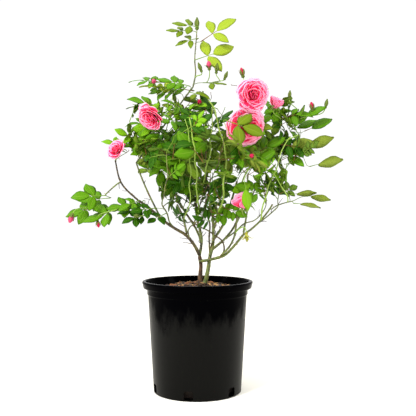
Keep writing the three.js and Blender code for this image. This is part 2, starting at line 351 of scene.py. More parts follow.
Tint = IntEnum("Tint", "DEEP MID GRASS OLIVE FRESH TURNING", start=0)
Tint.__doc__ = "Leaf colour of a spray, by its age and light."
BladePart = IntEnum("BladePart", "UPPER UNDER RIB", start=0)
BladePart.__doc__ = "Part of a leaflet, as its faces are marked."
PetalPart = IntEnum("PetalPart", "CLAW BODY RIM BACK", start=0)
PetalPart.__doc__ = "Band of a petal, as its faces are marked."
Whorl = IntEnum("Whorl", "HEART MIDDLE OUTER", start=0)
Whorl.__doc__ = "Where a petal sits in a bloom."
BudStage = IntEnum("BudStage", "GREEN SHOWING READY WITHERED CALYX", start=0)
BudStage.__doc__ = "How far a bud has come."
BudPart = IntEnum("BudPart", "HIP SEPAL PETALS", start=0)
BudPart.__doc__ = "Part of a bud, as its faces are marked."

# Rose leaves are waxy above, and young ones are a yellower green.
UPPER_GREENS = {
    Tint.DEEP: "#265002",
    Tint.MID: "#4c7a08",
    Tint.GRASS: "#66960f",
    Tint.OLIVE: "#5e7412",
    # The fresh green is partly the young leaves' own colour and partly painted light where the top leaves
    # catch the light.
    Tint.FRESH: "#849824",
    Tint.TURNING: "#969618",
}
# The hairy underside and the ribs show this paler green through the upper one.
DOWNY_GREEN = "#a0aa5a"
# Petals are velvet: deep pink at the claws and in the heart, partly their own colour and partly painted shade
# where they crowd, paling outwards to thin, light rims.
# Claw, body, rim and back of a petal.
PETAL_PINKS = {
    Whorl.HEART: ("#d40d3a", "#f42159", "#ff6a95", "#f83a6c"),
    Whorl.MIDDLE: ("#dc1a4a", "#f83a6e", "#ff8fb2", "#fb5c88"),
    Whorl.OUTER: ("#e43466", "#fa5a88", "#ffaac8", "#fc7aa2"),
}
# Hip, sepals and petals of a bud.
BUD_COLOURS = {
    BudStage.GREEN: ("#546828", "#5e7030", "#8a7448"),
    BudStage.SHOWING: ("#546828", "#666c32", "#a81c40"),
    BudStage.READY: ("#5c6c2c", "#607034", "#b84464"),
    BudStage.WITHERED: ("#8a8430", "#a8a848", "#7c7a2c"),
    BudStage.CALYX: ("#5c7030", "#667838", "#667838"),
}


# ---- mesh making


def band_faces(rings: int, sides: int, first: int = 0) -> Faces:
    """Faces between neighbouring rings of points, each ring closed on itself.

    Args:
        rings: Number of rings.
        sides: Points in each ring.
        first: Number of the first point.

    Returns:
        The four-sided faces.
    """
    rows = [first + i * sides for i in range(rings - 1)]
    pairs = [(k, (k + 1) % sides) for k in range(sides)]
    return [(row + a, row + b, row + b + sides, row + a + sides) for row in rows for a, b in pairs]


def tube_faces(rings: int, sides: int) -> Faces:
    """Faces of a tube of rings, closed by a cap at each end."""
    caps = [tuple(reversed(range(sides))), tuple(range((rings - 1) * sides, rings * sides))]
    return band_faces(rings, sides) + caps


def ring(radius: float, height: float, sides: int) -> list[Triple]:
    """Points evenly round the upright axis."""
    angles = [2 * math.pi * k / sides for k in range(sides)]
    return [(radius * math.cos(angle), radius * math.sin(angle), height) for angle in angles]


@dataclass
class Draft:
    """A mesh in the making: points, faces, and for each face its slot, part and map."""

    points: list[Sequence[float]] = field(default_factory=list)
    faces: Faces = field(default_factory=list)
    slots: list[int] = field(default_factory=list)
    parts: list[int] = field(default_factory=list)
    maps: list[tuple[float, float]] = field(default_factory=list)

    def add(
        self, points: Iterable[Sequence[float]], faces: Iterable[Sequence[int]], slot: int = 0, part: int = 0
    ) -> None:
        """Add a group of points and the faces between them.

        Args:
            points: New points.
            faces: Faces, numbered within the new points.
            slot: Material slot of the new faces.
            part: Part number of the new faces.
        """
        first = len(self.points)
        self.points.extend(tuple(p) for p in points)
        for face in faces:
            self.faces.append(tuple(first + i for i in face))
            self.slots.append(slot)
            self.parts.append(part)

    def add_sheet(
        self,
        columns: Sequence[float],
        rows: int,
        place: Callable[[float, float, float], Triple],
        lift: float,
        part: Callable[[int, int], int],
        mapped: bool = False,
    ) -> None:
        """Add the upper or lower face of a thin blade as a grid.

        Args:
            columns: Where its lengthwise lines run, from -1 at one margin to 1 at the other.
            rows: Number of steps along it.
            place: Point for a place across, a share of the length and a height over the middle sheet.
            lift: That height away from the margins, less than 0 for the lower face.
            part: Part number for a row and a column.
            mapped: Whether its faces take map places.
        """
        wide = len(columns)
        first = len(self.points)
        for i in range(rows + 1):
            for across in columns:
                at_margin = abs(across) == 1 or i in (0, rows)
                self.points.append(place(across, i / rows, 0.0 if at_margin else lift))
        for i in range(rows):
            for k in range(wide - 1):
                corners = [(i, k), (i, k + 1), (i + 1, k + 1), (i + 1, k)][:: -1 if lift < 0 else 1]
                self.faces.append(tuple(first + m * wide + n for m, n in corners))
                self.slots.append(0)
                self.parts.append(part(i, k))
                if mapped:
                    self.maps += [(0.5 + 0.5 * columns[n], m / rows) for m, n in corners]

    def mesh(self, name: str, weld: float = 0.0, outwards: bool = False) -> Mesh:
        """Turn the draft into a smooth-shaded mesh.

        Args:
            name: Name of the mesh.
            weld: Distance under which points are merged, or 0 to leave them.
            outwards: Whether to turn the faces of a closed shape outwards.

        Returns:
            The mesh, with its parts in the face attribute "part" and its map in "blade".
        """
        made = bpy.data.meshes.new(name)
        made.from_pydata(self.points, [], self.faces)
        made.attributes.new("part", "INT", "FACE").data.foreach_set("value", self.parts)
        made.polygons.foreach_set("material_index", self.slots)
        if self.maps:
            made.uv_layers.new(name="blade").data.foreach_set("uv", [c for place in self.maps for c in place])
        if weld or outwards:
            work = bmesh.new()
            work.from_mesh(made)
            if weld:
                bmesh.ops.remove_doubles(work, verts=work.verts, dist=weld)
                bmesh.ops.dissolve_degenerate(work, edges=work.edges, dist=weld)
            if outwards:
                bmesh.ops.recalc_face_normals(work, faces=work.faces)
            work.to_mesh(made)
            work.free()
        made.shade_smooth()
        made.validate()
        return made


def ring_frames(path: Sequence[Vector]) -> list[tuple[Vector, Vector, Vector]]:
    """Carry a frame along a path without twist.

    Args:
        path: Points of the path.

    Returns:
        For each point, the direction of the path and two directions square to it.
    """
    last = len(path) - 1
    frames = []
    side = None
    for i in range(len(path)):
        along = (path[min(i + 1, last)] - path[max(i - 1, 0)]).normalized()
        if side is None:
            side = along.orthogonal().normalized()
        side = (side - along * side.dot(along)).normalized()
        frames.append((along, side, along.cross(side)))
    return frames


def sweep(
    draft: Draft,
    path: Sequence[Vector],
    radii: Sequence[float],
    sides: int,
    slot: int = 0,
    relief: Callable[[Vector], float] | None = None,
) -> None:
    """Add a round limb along a path, closed at both ends.

    Args:
        draft: Mesh in the making.
        path: Middle line.
        radii: Radius at each point of it.
        sides: Number of sides.
        slot: Material slot.
        relief: Share by which the radius changes at a point of the skin.
    """
    points = []
    for centre, radius, (_, side, other) in zip(path, radii, ring_frames(path)):
        for x, y, _ in ring(1.0, 0.0, sides):
            spoke = side * x + other * y
            swell = 1 + relief(centre + spoke * radius) if relief else 1.0
            points.append(centre + spoke * radius * swell)
    draft.add(points, tube_faces(len(path), sides), slot)


def revolve(draft: Draft, profile: Sequence[tuple[float, float]], sides: int, part: int = 0) -> None:
    """Add a closed turned shape about the upright axis.

    Args:
        draft: Mesh in the making.
        profile: Radius and height pairs from the foot of the axis to its top, both on the axis.
        sides: Number of sides.
        part: Part number of its faces.
    """
    rings = profile[1:-1]
    points = [(0.0, 0.0, profile[0][1]), (0.0, 0.0, profile[-1][1])]
    points += [point for radius, height in rings for point in ring(radius, height, sides)]
    top = 2 + (len(rings) - 1) * sides
    faces = [(0, 2 + (k + 1) % sides, 2 + k) for k in range(sides)]
    faces += [(1, top + k, top + (k + 1) % sides) for k in range(sides)]
    draft.add(points, faces + band_faces(len(rings), sides, 2), part=part)


def bezier(start: Vector, first: Vector, second: Vector, end: Vector, count: int) -> list[Vector]:
    """Points along a cubic curve.

    Args:
        start: Start of the curve.
        first: Handle of the start.
        second: Handle of the end.
        end: End of the curve.
        count: Number of points.

    Returns:
        Evenly spread points, ends included.
    """
    return [
        start * (1 - t) ** 3 + first * 3 * t * (1 - t) ** 2 + second * 3 * t * t * (1 - t) + end * t**3
        for t in (i / (count - 1) for i in range(count))
    ]


def facing(axis: Vector, normal: Vector) -> Quaternion:
    """The turn that takes +Y to an axis and +Z as near as it can to a normal.

    Args:
        axis: Where +Y goes.
        normal: Where +Z leans.

    Returns:
        The turn.
    """
    y = axis.normalized()
    x = y.cross(normal)
    x = x.normalized() if x.length > 1e-6 else y.orthogonal().normalized()
    return Matrix((x, y, x.cross(y))).transposed().to_quaternion()


def upright(axis: Vector) -> Quaternion:
    """A turn that takes +Z to an axis."""
    return facing(axis.orthogonal(), axis)


def put(name: str, data: bpy.types.ID) -> bpy.types.Object:
    """Put an object in the scene.

    Args:
        name: Name of the object.
        data: Its mesh, lamp or lens.

    Returns:
        The object.
    """
    made = bpy.data.objects.new(name, data)
    bpy.context.scene.collection.objects.link(made)
    return made


def show(
    name: str, mesh: Mesh, materials: Sequence[Material] = ()
) -> bpy.types.Object:
    """Put a finished mesh in the scene as a piece of the plant's one body.

    Args:
        name: Name of the piece.
        mesh: Its mesh, in place.
        materials: Its materials, if the mesh has none yet.
        slot: Its slot in the part.

    Returns:
        The piece.
    """
    for material in materials:
        mesh.materials.append(material)
    made = put(name, mesh)
    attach(made, ROOT)
    log.info("%s: %d triangles", name, sum(len(p.vertices) - 2 for p in mesh.polygons))
    return made


# ---- geometry nodes


def gather(name: str, templates: Sequence[Mesh]) -> Collection:
    """Hold template meshes in a collection of their own, in order and out of the scene.

    Args:
        name: Name of the collection.
        templates: Meshes to copy.

    Returns:
        The collection.
    """
    held = bpy.data.collections.new(name)
    for i, mesh in enumerate(templates):
        held.objects.link(bpy.data.objects.new(f"{name}_{i:02d}", mesh))
    return held


def new_tree(name: str, **sockets: str) -> tuple[NodeTree, bpy.types.NodeInputs]:
    """Start a tree that turns some geometry into copies.

    Args:
        name: Name of the tree.
        **sockets: Kind of each named input.

    Returns:
        The tree and what it is given.
    """
    tree = bpy.data.node_groups.new(name, "GeometryNodeTree")
    for label, kind in sockets.items():
        tree.interface.new_socket(label, in_out="INPUT", socket_type=f"NodeSocket{kind}")
    tree.interface.new_socket("Copies", in_out="OUTPUT", socket_type="NodeSocketGeometry")
    return tree, add_node(tree, "NodeGroupInput").outputs


def placed_tree(name: str, dressings: dict[tuple[int, int], Material]) -> NodeTree:
    """Tree that puts a copy of a template on each stored point, and gives each part its material.

    Args:
        name: Name of the tree.
        dressings: Material for each tint of copy and part of template.

    Returns:
        The tree, with the inputs Templates and Growth.
    """
    tree, given = new_tree(name, Points="Geometry", Templates="Collection", Growth="Float")
    read = "GeometryNodeInputNamedAttribute"
    kinds = {"kind": "INT", "turn": "QUATERNION", "size": "FLOAT_VECTOR", "tint": "INT", "part": "INT"}
    stored = {label: add_node(tree, read, {"Name": label}, data_type=kind) for label, kind in kinds.items()}
    picked = {"Collection": given["Templates"], "Separate Children": True, "Reset Children": True}
    held = add_node(tree, "GeometryNodeCollectionInfo", picked)
    sizing = {0: stored["size"], "Scale": given["Growth"]}
    grown = add_node(tree, "ShaderNodeVectorMath", sizing, operation="SCALE")
    placing = {"Points": given["Points"], "Instance": held, "Pick Instance": True}
    placing |= {"Instance Index": stored["kind"], "Rotation": stored["turn"], "Scale": grown}
    copies = add_node(tree, "GeometryNodeInstanceOnPoints", placing)
    last = add_node(tree, "GeometryNodeRealizeInstances", {"Geometry": copies})
    for (tint, part), material in dressings.items():
        same = []
        for label, value in (("tint", tint), ("part", part)):
            pair = {2: stored[label], 3: value}
            same.append(add_node(tree, "FunctionNodeCompare", pair, data_type="INT", operation="EQUAL"))
        both = add_node(tree, "FunctionNodeBooleanMath", dict(enumerate(same)), operation="AND")
        coat = {"Geometry": last, "Selection": both, "Material": material}
        last = add_node(tree, "GeometryNodeSetMaterial", coat)
    add_node(tree, "NodeGroupOutput", {"Copies": last})
    return tree


def strewn_tree(name: str, material: Material | None = None) -> NodeTree:
    """Tree that strews copies of templates over a surface, standing on it.

    Args:
        name: Name of the tree.
        material: Material of the copies, or None to keep the templates' own.

    Returns:
        The tree, with the inputs Templates, Apart, Density, Smallest, Largest, Lean and Seed.
    """
    numbers = {label: "Float" for label in ("Apart", "Density", "Smallest", "Largest", "Lean")}
    tree, given = new_tree(name, Ground="Geometry", Templates="Collection", **numbers, Seed="Int")
    seed = given["Seed"]
    spread = {"Mesh": given["Ground"], "Seed": seed}
    spread |= {"Distance Min": given["Apart"], "Density Max": given["Density"]}
    spots = add_node(tree, "GeometryNodeDistributePointsOnFaces", spread, distribute_method="POISSON")
    picked = {"Collection": given["Templates"], "Separate Children": True, "Reset Children": True}
    held = add_node(tree, "GeometryNodeCollectionInfo", picked)
    least = add_node(tree, "ShaderNodeMath", {0: given["Lean"], 1: -1.0}, operation="MULTIPLY")
    ranges = ((-math.pi, math.pi), (given["Smallest"], given["Largest"]), (least, given["Lean"]))
    spin, size, tip = [
        add_node(tree, "FunctionNodeRandomValue", {2: low, 3: high, "Seed": seed}, data_type="FLOAT")
        for low, high in ranges
    ]
    angles = add_node(tree, "ShaderNodeCombineXYZ", {"X": tip, "Y": tip, "Z": spin})
    own = add_node(tree, "FunctionNodeEulerToRotation", {"Euler": angles})
    turns = {"Rotation": spots.outputs["Rotation"], "Rotate By": own}
    turned = add_node(tree, "FunctionNodeRotateRotation", turns, rotation_space="LOCAL")
    placing = {"Points": spots, "Instance": held, "Pick Instance": True, "Rotation": turned, "Scale": size}
    copies = add_node(tree, "GeometryNodeInstanceOnPoints", placing)
    last = add_node(tree, "GeometryNodeRealizeInstances", {"Geometry": copies})
    if material is not None:
        last = add_node(tree, "GeometryNodeSetMaterial", {"Geometry": last, "Material": material})
    add_node(tree, "NodeGroupOutput", {"Copies": last})
    return tree


def run_tree(name: str, start: Mesh, tree: NodeTree, **values: object) -> Mesh:
    """Run a tree on a mesh and keep what it makes as a plain mesh.

    Args:
        name: Name of the new mesh.
        start: Mesh that the tree starts from.
        tree: The tree.
        **values: Value of each named input.

    Returns:
        The plain mesh, with the materials that the tree set.
    """
    carrier = put(f"{name}_maker", start)
    modifier = carrier.modifiers.new("grow", "NODES")
    modifier.node_group = tree
    sockets = {item.name: item.identifier for item in tree.interface.items_tree if item.in_out == "INPUT"}
    for label, value in values.items():
        modifier[sockets[label]] = value
    graph = bpy.context.evaluated_depsgraph_get()
    made = bpy.data.meshes.new_from_object(carrier.evaluated_get(graph), depsgraph=graph)
    made.name = name
    bpy.data.objects.remove(carrier)
    return made


@dataclass
class Copies:
    """Places of the copies of a few templates."""

    # Place, turn, size along its own X, Y and Z, number of the template, and tint of each copy.
    rows: list[tuple[Vector, Quaternion, Sequence[float], int, int]] = field(default_factory=list)

    def cloud(self, name: str) -> Mesh:
        """Store the places as a mesh of loose points.

        Args:
            name: Name of the mesh.

        Returns:
            Loose points with the attributes turn, size, kind and tint.
        """
        points, turns, sizes, kinds, tints = zip(*self.rows)
        made = bpy.data.meshes.new(name)
        made.from_pydata(points, [], [])
        columns = [
            ("turn", "QUATERNION", "value", [c for turn in turns for c in turn]),
            ("size", "FLOAT_VECTOR", "vector", [c for size in sizes for c in size]),
            ("kind", "INT", "value", kinds),
            ("tint", "INT", "value", tints),
        ]
        for label, kind, key, values in columns:
            made.attributes.new(label, kind, "POINT").data.foreach_set(key, values)
        return made

    def mesh(self, name: str, templates: Collection, tree: NodeTree) -> Mesh:
        """Put a copy of a template at each place, by a tree of placed_tree, as a plain mesh."""
        return run_tree(name, self.cloud(name), tree, Templates=templates, Growth=1.0)


# ---- wood


def mass(name: str) -> str:
    """The packed node of a mass of foliage."""
    return f"foliage_{name}"


@lru_cache(maxsize=None)
def packed_box(node: str) -> tuple[Vector, Vector]:
    """Lowest and highest corner of a packed node, read once."""
    low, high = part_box(node)
    return Vector(low), Vector(high)


def spot(node: str, x: float, y: float, z: float) -> Vector:
    """A place in a packed node's box."""
    low, high = packed_box(node)
    return Vector(low[i] + (high[i] - low[i]) * share for i, share in enumerate((x, y, z)))


def skin_of(names: Iterable[str]) -> BVHTree:
    """Searchable surface of some packed nodes.

    Args:
        names: The nodes.

    Returns:
        Their faces in one tree.
    """
    corners: list[Vector] = []
    faces: Faces = []
    for name in names:
        first = len(corners)
        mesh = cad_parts[name].data
        corners += [v.co.copy() for v in mesh.vertices]
        faces += [tuple(first + i for i in p.vertices) for p in mesh.polygons]
    return BVHTree.FromPolygons(corners, faces)


@lru_cache(maxsize=None)
def own_skin(node: str) -> BVHTree:
    """Searchable surface of one packed node, read once."""
    return skin_of([node])


def edge_of(node: str, way: Sequence[float], start: Vector | None = None) -> Vector:
    """Where a packed node's skin lies in a direction.

    Args:
        node: Name of the node.
        way: The direction.
        start: Where to look from, or None for the middle of the node's box.

    Returns:
        The place on its skin.
    """
    middle = start or spot(node, 0.5, 0.5, 0.5)
    heading = Vector(way).normalized()
    far = middle + heading * 0.4
    hit = own_skin(node).ray_cast(far, -heading)[0]
    return hit or own_skin(node).find_nearest(far)[0]


@dataclass
class Limb:
    """One length of wood: a tapering path."""

    path: list[Vector]
    radii: list[float]

    @staticmethod
    def tapering(path: list[Vector], foot: float, tip: float) -> "Limb":
        """A limb that tapers evenly from one radius to another."""
        last = len(path) - 1
        return Limb(path, [foot + (tip - foot) * i / last for i in range(last + 1)])

    @staticmethod
    def from_node(node: bpy.types.Object, step: float = 5 * MM) -> "Limb":
        """Read the middle line of a packed stem or bough by slicing it across, from end to end.

        Args:
            node: The packed node.
            step: Distance from one slice to the next.

        Returns:
            The limb, thick end first.
        """
        end_ball, aim_ball, slice_reach, most_slices = 14 * MM, 40 * MM, 13 * MM, 200
        points = np.array([v.co for v in node.data.vertices])
        edges = np.array([e.vertices for e in node.data.edges])
        middle = points.mean(axis=0)
        one_end = points[np.argmax(((points - middle) ** 2).sum(axis=1))]
        away = ((points - one_end) ** 2).sum(axis=1)
        start = points[away < end_ball**2].mean(axis=0)
        heading = points[away < aim_ball**2].mean(axis=0) - start
        heading = heading / np.linalg.norm(heading)
        at = start + heading * step * 0.2
        centres: list[np.ndarray] = []
        radii: list[float] = []
        while len(centres) < most_slices:
            height = (points - at) @ heading
            a, b = edges[:, 0], edges[:, 1]
            cut = height[a] * height[b] < 0
            share = height[a][cut] / (height[a][cut] - height[b][cut])
            rim = points[a][cut] + (points[b][cut] - points[a][cut]) * share[:, None]
            rim = rim[((rim - at) ** 2).sum(axis=1) < slice_reach**2]
            if len(rim) < 3:
                break
            centre = (rim.min(axis=0) + rim.max(axis=0)) / 2
            if centres:
                moved = centre - centres[-1]
                heading = heading + 0.6 * moved / max(np.linalg.norm(moved), 1e-9)
                heading = heading / np.linalg.norm(heading)
            centres.append(centre)
            radii.append(float(np.median(np.linalg.norm(rim - centre, axis=1))))
            at = centre + heading * step
        smooth = np.array(centres)
        for _ in range(2):
            smooth[1:-1] = (smooth[:-2] + 2 * smooth[1:-1] + smooth[2:]) / 4
        if np.mean(radii[: len(radii) // 2]) < np.mean(radii[len(radii) // 2 :]):
            smooth = smooth[::-1]
            radii.reverse()
        thick, thin = np.polyfit(range(len(radii)), radii, 1)
        even = [max(0.7 * MM, thin + thick * i) for i in range(len(radii))]
        return Limb([Vector(p) for p in smooth], even)


@dataclass
class Target:
    """A place that a shoot grows to."""

    point: Vector
    heading: Vector  # of the tip, or zero to leave it to the shoot
    thickness: float = 0.7 * MM
    forks: bool = True  # whether other shoots may fork off this one


# What makes wood a poor foot for a shoot: a turn away from its line, a way down, a place near the ground.
BEND_PRICE, FALL_PRICE, LOW_PRICE = 0.35, 0.9, 4


@dataclass
class Crown:
    """The space that the leaves may fill, and the seeded growth of shoots into it.

    Attributes:
        masses: Names of the packed foliage nodes.
        seed: Seed of everything random in the growth.
        litres_per_shoot: Space that one leafy shoot fills.
        mid_height: Height of the middle that shoots and leaves turn away from.
        placed: Nodes whose leaves all have places of their own.
    """

    masses: list[str]
    seed: int = 7
    litres_per_shoot: float = 0.05
    mid_height: float = 0.44
    placed: frozenset[str] = frozenset()

    def __post_init__(self) -> None:
        """Read the masses' surfaces into one searchable tree."""
        self.random = np.random.default_rng(self.seed)
        self.volumes = {name: self.volume(name) for name in self.masses}
        self.skin = skin_of(self.masses)

    @staticmethod
    def volume(name: str) -> float:
        """Space inside one mass.

        Args:
            name: The mass.

        Returns:
            The space, in cubic metres.
        """
        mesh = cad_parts[name].data
        corners = [[mesh.vertices[i].co for i in p.vertices[:3]] for p in mesh.polygons]
        return abs(sum(a.dot(b.cross(c)) for a, b, c in corners) / 6)

    def outside(self, point: Vector, name: str | None = None) -> float:
        """Distance from the foliage's skin, less than 0 inside it.

        Args:
            point: The place.
            name: One mass, or None for all of them.

        Returns:
            The signed distance.
        """
        tree = own_skin(name) if name else self.skin
        nearest, normal, _, distance = tree.find_nearest(point)
        return distance if (point - nearest).dot(normal) > 0 else -distance

    def outward(self, point: Vector) -> Vector:
        """Direction away from the middle of the crown, level or rising."""
        away = point - Vector((0.02, 0.0, self.mid_height))
        return away.normalized()

    def sample(self, name: str, count: int, deepest: float = 30 * MM) -> list[Vector]:
        """Spread points through one mass, near its skin.

        Args:
            name: The mass.
            count: Number of points.
            deepest: How far under the skin they may lie.

        Returns:
            The points.
        """
        low, high = packed_box(name)
        chosen: list[Vector] = []
        for _ in range(count):
            best, best_gap = None, -1.0
            for _ in range(60):
                trial = Vector(self.random.uniform(low[i], high[i]) for i in range(3))
                depth = -self.outside(trial, name)
                if not 5 * MM < depth < deepest:
                    continue
                gap = min(((trial - other).length for other in chosen), default=1.0)
                if gap > best_gap:
                    best, best_gap = trial, gap
            if best is not None:
                chosen.append(best)
        return chosen

    def targets(self) -> list[Target]:
        """Choose the places that leafy shoots grow to, more of them in a larger mass.

        Returns:
            The places.
        """
        found = []
        self.owners: list[str] = []
        for name in self.masses:
            count = max(2, round(self.volumes[name] * 1000 / self.litres_per_shoot))
            points = self.sample(name, count) if name not in self.placed else []
            found += [Target(point, Vector()) for point in points]
            self.owners += [name] * len(points)
        return found

    def grow(self, limbs: list[Limb], targets: list[Target]) -> list[Limb]:
        """Grow a shoot to each target, the easiest first, from whatever wood is then nearest.

        Args:
            limbs: Wood to start from. The new shoots are added to it.
            targets: Where to grow.

        Returns:
            The new shoots, in the order in which the targets were given.
        """
        points = [p for limb in limbs for p in limb.path]
        along = [frame_[0] for limb in limbs for frame_ in ring_frames(limb.path)]
        thick = [r for limb in limbs for r in limb.radii]
        first_height = min(p.z for p in points) + 60 * MM
        waiting = dict(enumerate(targets))
        grown: dict[int, Limb] = {}
        cost: dict[int, tuple[float, int]] = {i: (math.inf, 0) for i in waiting}
        fresh = 0
        while waiting:
            spots = np.array(points[fresh:])
            ways = np.array(along[fresh:])
            for i, target in waiting.items() if len(spots) else ():
                reach = np.array(target.point) - spots
                far = np.linalg.norm(reach, axis=1) + 1e-9
                bend = 1 - (reach * ways).sum(axis=1) / far
                down = np.maximum(0.0, -reach[:, 2])
                low = np.maximum(0.0, first_height - spots[:, 2])
                price = far * (1 + BEND_PRICE * bend) + FALL_PRICE * down + LOW_PRICE * low
                best = int(price.argmin())
                if price[best] < cost[i][0]:
                    cost[i] = (float(price[best]), fresh + best)
            fresh = len(points)
            number = min(waiting, key=lambda i: cost[i][0])
            target = waiting.pop(number)
            foot = cost[number][1]
            shoot = self.shoot(points[foot], along[foot], thick[foot], target)
            grown[number] = shoot
            if target.forks:
                points += shoot.path[1:]
                along += [f[0] for f in ring_frames(shoot.path)[1:]]
                thick += shoot.radii[1:]
        return [grown[i] for i in range(len(targets))]

    def shoot(self, foot: Vector, along: Vector, thick: float, target: Target) -> Limb:
        """One curved shoot.

        Args:
            foot: Where it starts, on its parent's middle line.
            along: Direction of the parent there.
            thick: Radius of the parent there.
            target: Where it goes.

        Returns:
            The shoot.
        """
        reach = target.point - foot
        span = reach.length
        way = reach.normalized()
        heading = target.heading
        if heading.length < 0.5:
            heading = (way * 0.6 + self.outward(target.point) * 0.5 + UP * 0.3).normalized()
        first = foot + (along * 0.45 + way * 0.7).normalized() * span * 0.34
        second = target.point - heading * span * 0.34
        count = max(5, round(span / (5 * MM)))
        path = bezier(foot, first, second, target.point, count)
        widest = min(0.85 * thick, target.thickness + 0.15 * MM + span * 0.006)
        widest = max(widest, target.thickness)
        wobble = 0.006 * span
        for i in range(1, count - 1):
            path[i] = path[i] + noise.noise_vector(path[i] * 60) * wobble
        return Limb.tapering(path, widest, target.thickness)


# ---- leaves


@dataclass(frozen=True)
class LeafletForm:
    """Outline and set of one leaflet, one unit long from its foot at the origin to its tip along +Y.

    Attributes:
        width: Full width.
        belly: How far along the widest place is.
        fold: Angle that each half is folded up from flat, in degrees.
        droop: How far the tip hangs below the foot's plane.
        roll: How far the margins turn down.
        sway: How far the tip swings to one side.
        teeth: Teeth on each margin.
    """

    width: float
    belly: float = 0.48
    fold: float = 14.0
    droop: float = 0.1
    roll: float = 0.05
    sway: float = 0.03
    teeth: int = 5

    def half_width(self, share: float) -> float:
        """Half the leaflet's width at a place along it, without its teeth.

        Args:
            share: Share of its length.

        Returns:
            Half the width, as a share of its length.
        """
        skew = math.log(0.5) / math.log(self.belly)
        oval = math.sin(math.pi * min(share, 1.0) ** skew) ** 0.72
        return 0.5 * self.width * oval * (1 - 0.3 * share**8)

    def place(self, across: float, share: float, lift: float) -> Triple:
        """A point of the blade, which is thin along its sunken midrib.

        Args:
            across: Side to side, from -1 at one margin to 1 at the other.
            share: Share of the length.
            lift: Height over the blade's middle sheet.

        Returns:
            The point.
        """
        station = round(share * 2 * self.teeth)
        toothed = 0 < station < 2 * self.teeth and station % 2 == 1
        half = max(self.half_width(share), 0.012 if share < 0.5 else 0.0)
        if toothed and abs(across) == 1:
            half *= 1.035
        x = across * half
        ripple = 0.014 * math.sin(share * 11 + across) * across * across
        swell = 0.4 if abs(across) < 0.1 and lift > 0 else 1.6
        z = abs(x) * math.tan(math.radians(self.fold)) - self.roll * across * across
        z += ripple - self.droop * share * share + lift * swell
        return x + self.sway * share * share, share * (1 - 0.3 * self.droop * share), z

    def mesh(self, name: str) -> Mesh:
        """Build the leaflet as a thin closed blade with a sunken midrib above and a raised one below.

        Args:
            name: Name of the mesh.

        Returns:
            The template.
        """
        draft = Draft()
        thickness = 0.006
        for lift, side, columns in (
            (thickness, BladePart.UPPER, (-1.0, -0.5, -0.035, 0.035, 0.5, 1.0)),
            (-thickness, BladePart.UNDER, (-1.0, 0.0, 1.0)),
        ):
            strips = [BladePart.RIB if -0.1 < a < b < 0.1 else side for a, b in zip(columns, columns[1:])]
            draft.add_sheet(columns, 2 * self.teeth, self.place, lift, lambda _, column: strips[column], True)
        return draft.mesh(name, weld=1e-4, outwards=True)


# Rose leaflets are oval with a short point and a fine saw edge. Young ones are narrow and still folded.
LEAFLET_FORMS = (
    LeafletForm(0.6, 0.46, 10, 0.10, 0.05, 0.02),
    LeafletForm(0.54, 0.5, 16, 0.16, 0.03, -0.04),
    LeafletForm(0.66, 0.48, 6, 0.05, 0.07, 0.03),
    LeafletForm(0.5, 0.45, 24, 0.22, 0.02, 0.06),
    LeafletForm(0.44, 0.42, 34, 0.12, 0.0, -0.05),
    LeafletForm(0.72, 0.5, 8, 0.02, 0.08, 0.0),
)


@dataclass
class Leaf:
    """One compound leaf, laid out along its stalk."""

    stalk: list[Vector]
    places: list[Vector]
    turns: list[Quaternion]
    lengths: list[float]

    @staticmethod
    def laid_out(
        foot: Vector,
        axis: Vector,
        normal: Vector,
        span: float,
        leaflets: int,
        random: np.random.Generator,
        sag: float = 0.14,
    ) -> "Leaf":
        """Lay out a leaf.

        Args:
            foot: Where it leaves the shoot.
            axis: Its direction.
            normal: Where its upper face looks.
            span: Its whole length.
            leaflets: Number of leaflets: 1, 3, 5 or 7.
            random: Source of the small differences.
            sag: How far the end hangs, as a share of the span.

        Returns:
            The leaf.
        """
        axis = axis.normalized()
        normal = (normal - axis * normal.dot(axis)).normalized()
        side = axis.cross(normal)
        stalk_share = {1: 0.25, 3: 0.44, 5: 0.54, 7: 0.6}[leaflets]

        def along(share: float) -> Vector:
            """Place on the sagging stalk at a share of the span."""
            return foot + axis * span * share - normal * span * sag * share * share

        stalk = [along(stalk_share * i / 6) for i in range(7)]
        end_way = (along(stalk_share) - along(stalk_share - 0.05)).normalized()

        def wild(amount: float) -> Vector:
            """A small random lean."""
            return Vector(random.normal(0, amount, 3))

        places = [stalk[-1]]
        turns = [facing(end_way + wild(0.08), normal + wild(0.18))]
        lengths = [span * (1 - stalk_share)]
        pairs = (leaflets - 1) // 2
        for pair in range(pairs):
            back = (pair + 0.5 + 0.12 * random.random()) / pairs
            share = stalk_share * (1 - back * (0.66 if pairs > 1 else 0.46))
            size = lengths[0] * (0.9 - 0.13 * pair) * random.uniform(0.9, 1.05)
            for hand in (-1, 1):
                spread = math.radians(random.uniform(58, 78))
                way = end_way * math.cos(spread) + side * hand * math.sin(spread)
                places.append(along(share) + side * hand * 1.2 * MM)
                turns.append(facing(way + wild(0.07), normal + side * hand * 0.12 + wild(0.16)))
                lengths.append(size * random.uniform(0.93, 1.05))
        return Leaf(stalk, places, turns, lengths)

    def marks(self, along: float, drop: float) -> list[Vector]:
        """One place on each leaflet, that far along and hanging that far, as shares of its length."""
        leaflets = zip(self.places, self.turns, self.lengths)
        return [p + turn @ Vector((0, along * long, -drop * long)) for p, turn, long in leaflets]

    def middles(self) -> list[Vector]:
        """Middle of each leaflet."""
        return self.marks(0.5, 0.04)

    def tips(self) -> list[Vector]:
        """Tip of each leaflet."""
        return self.marks(1, 0.1)


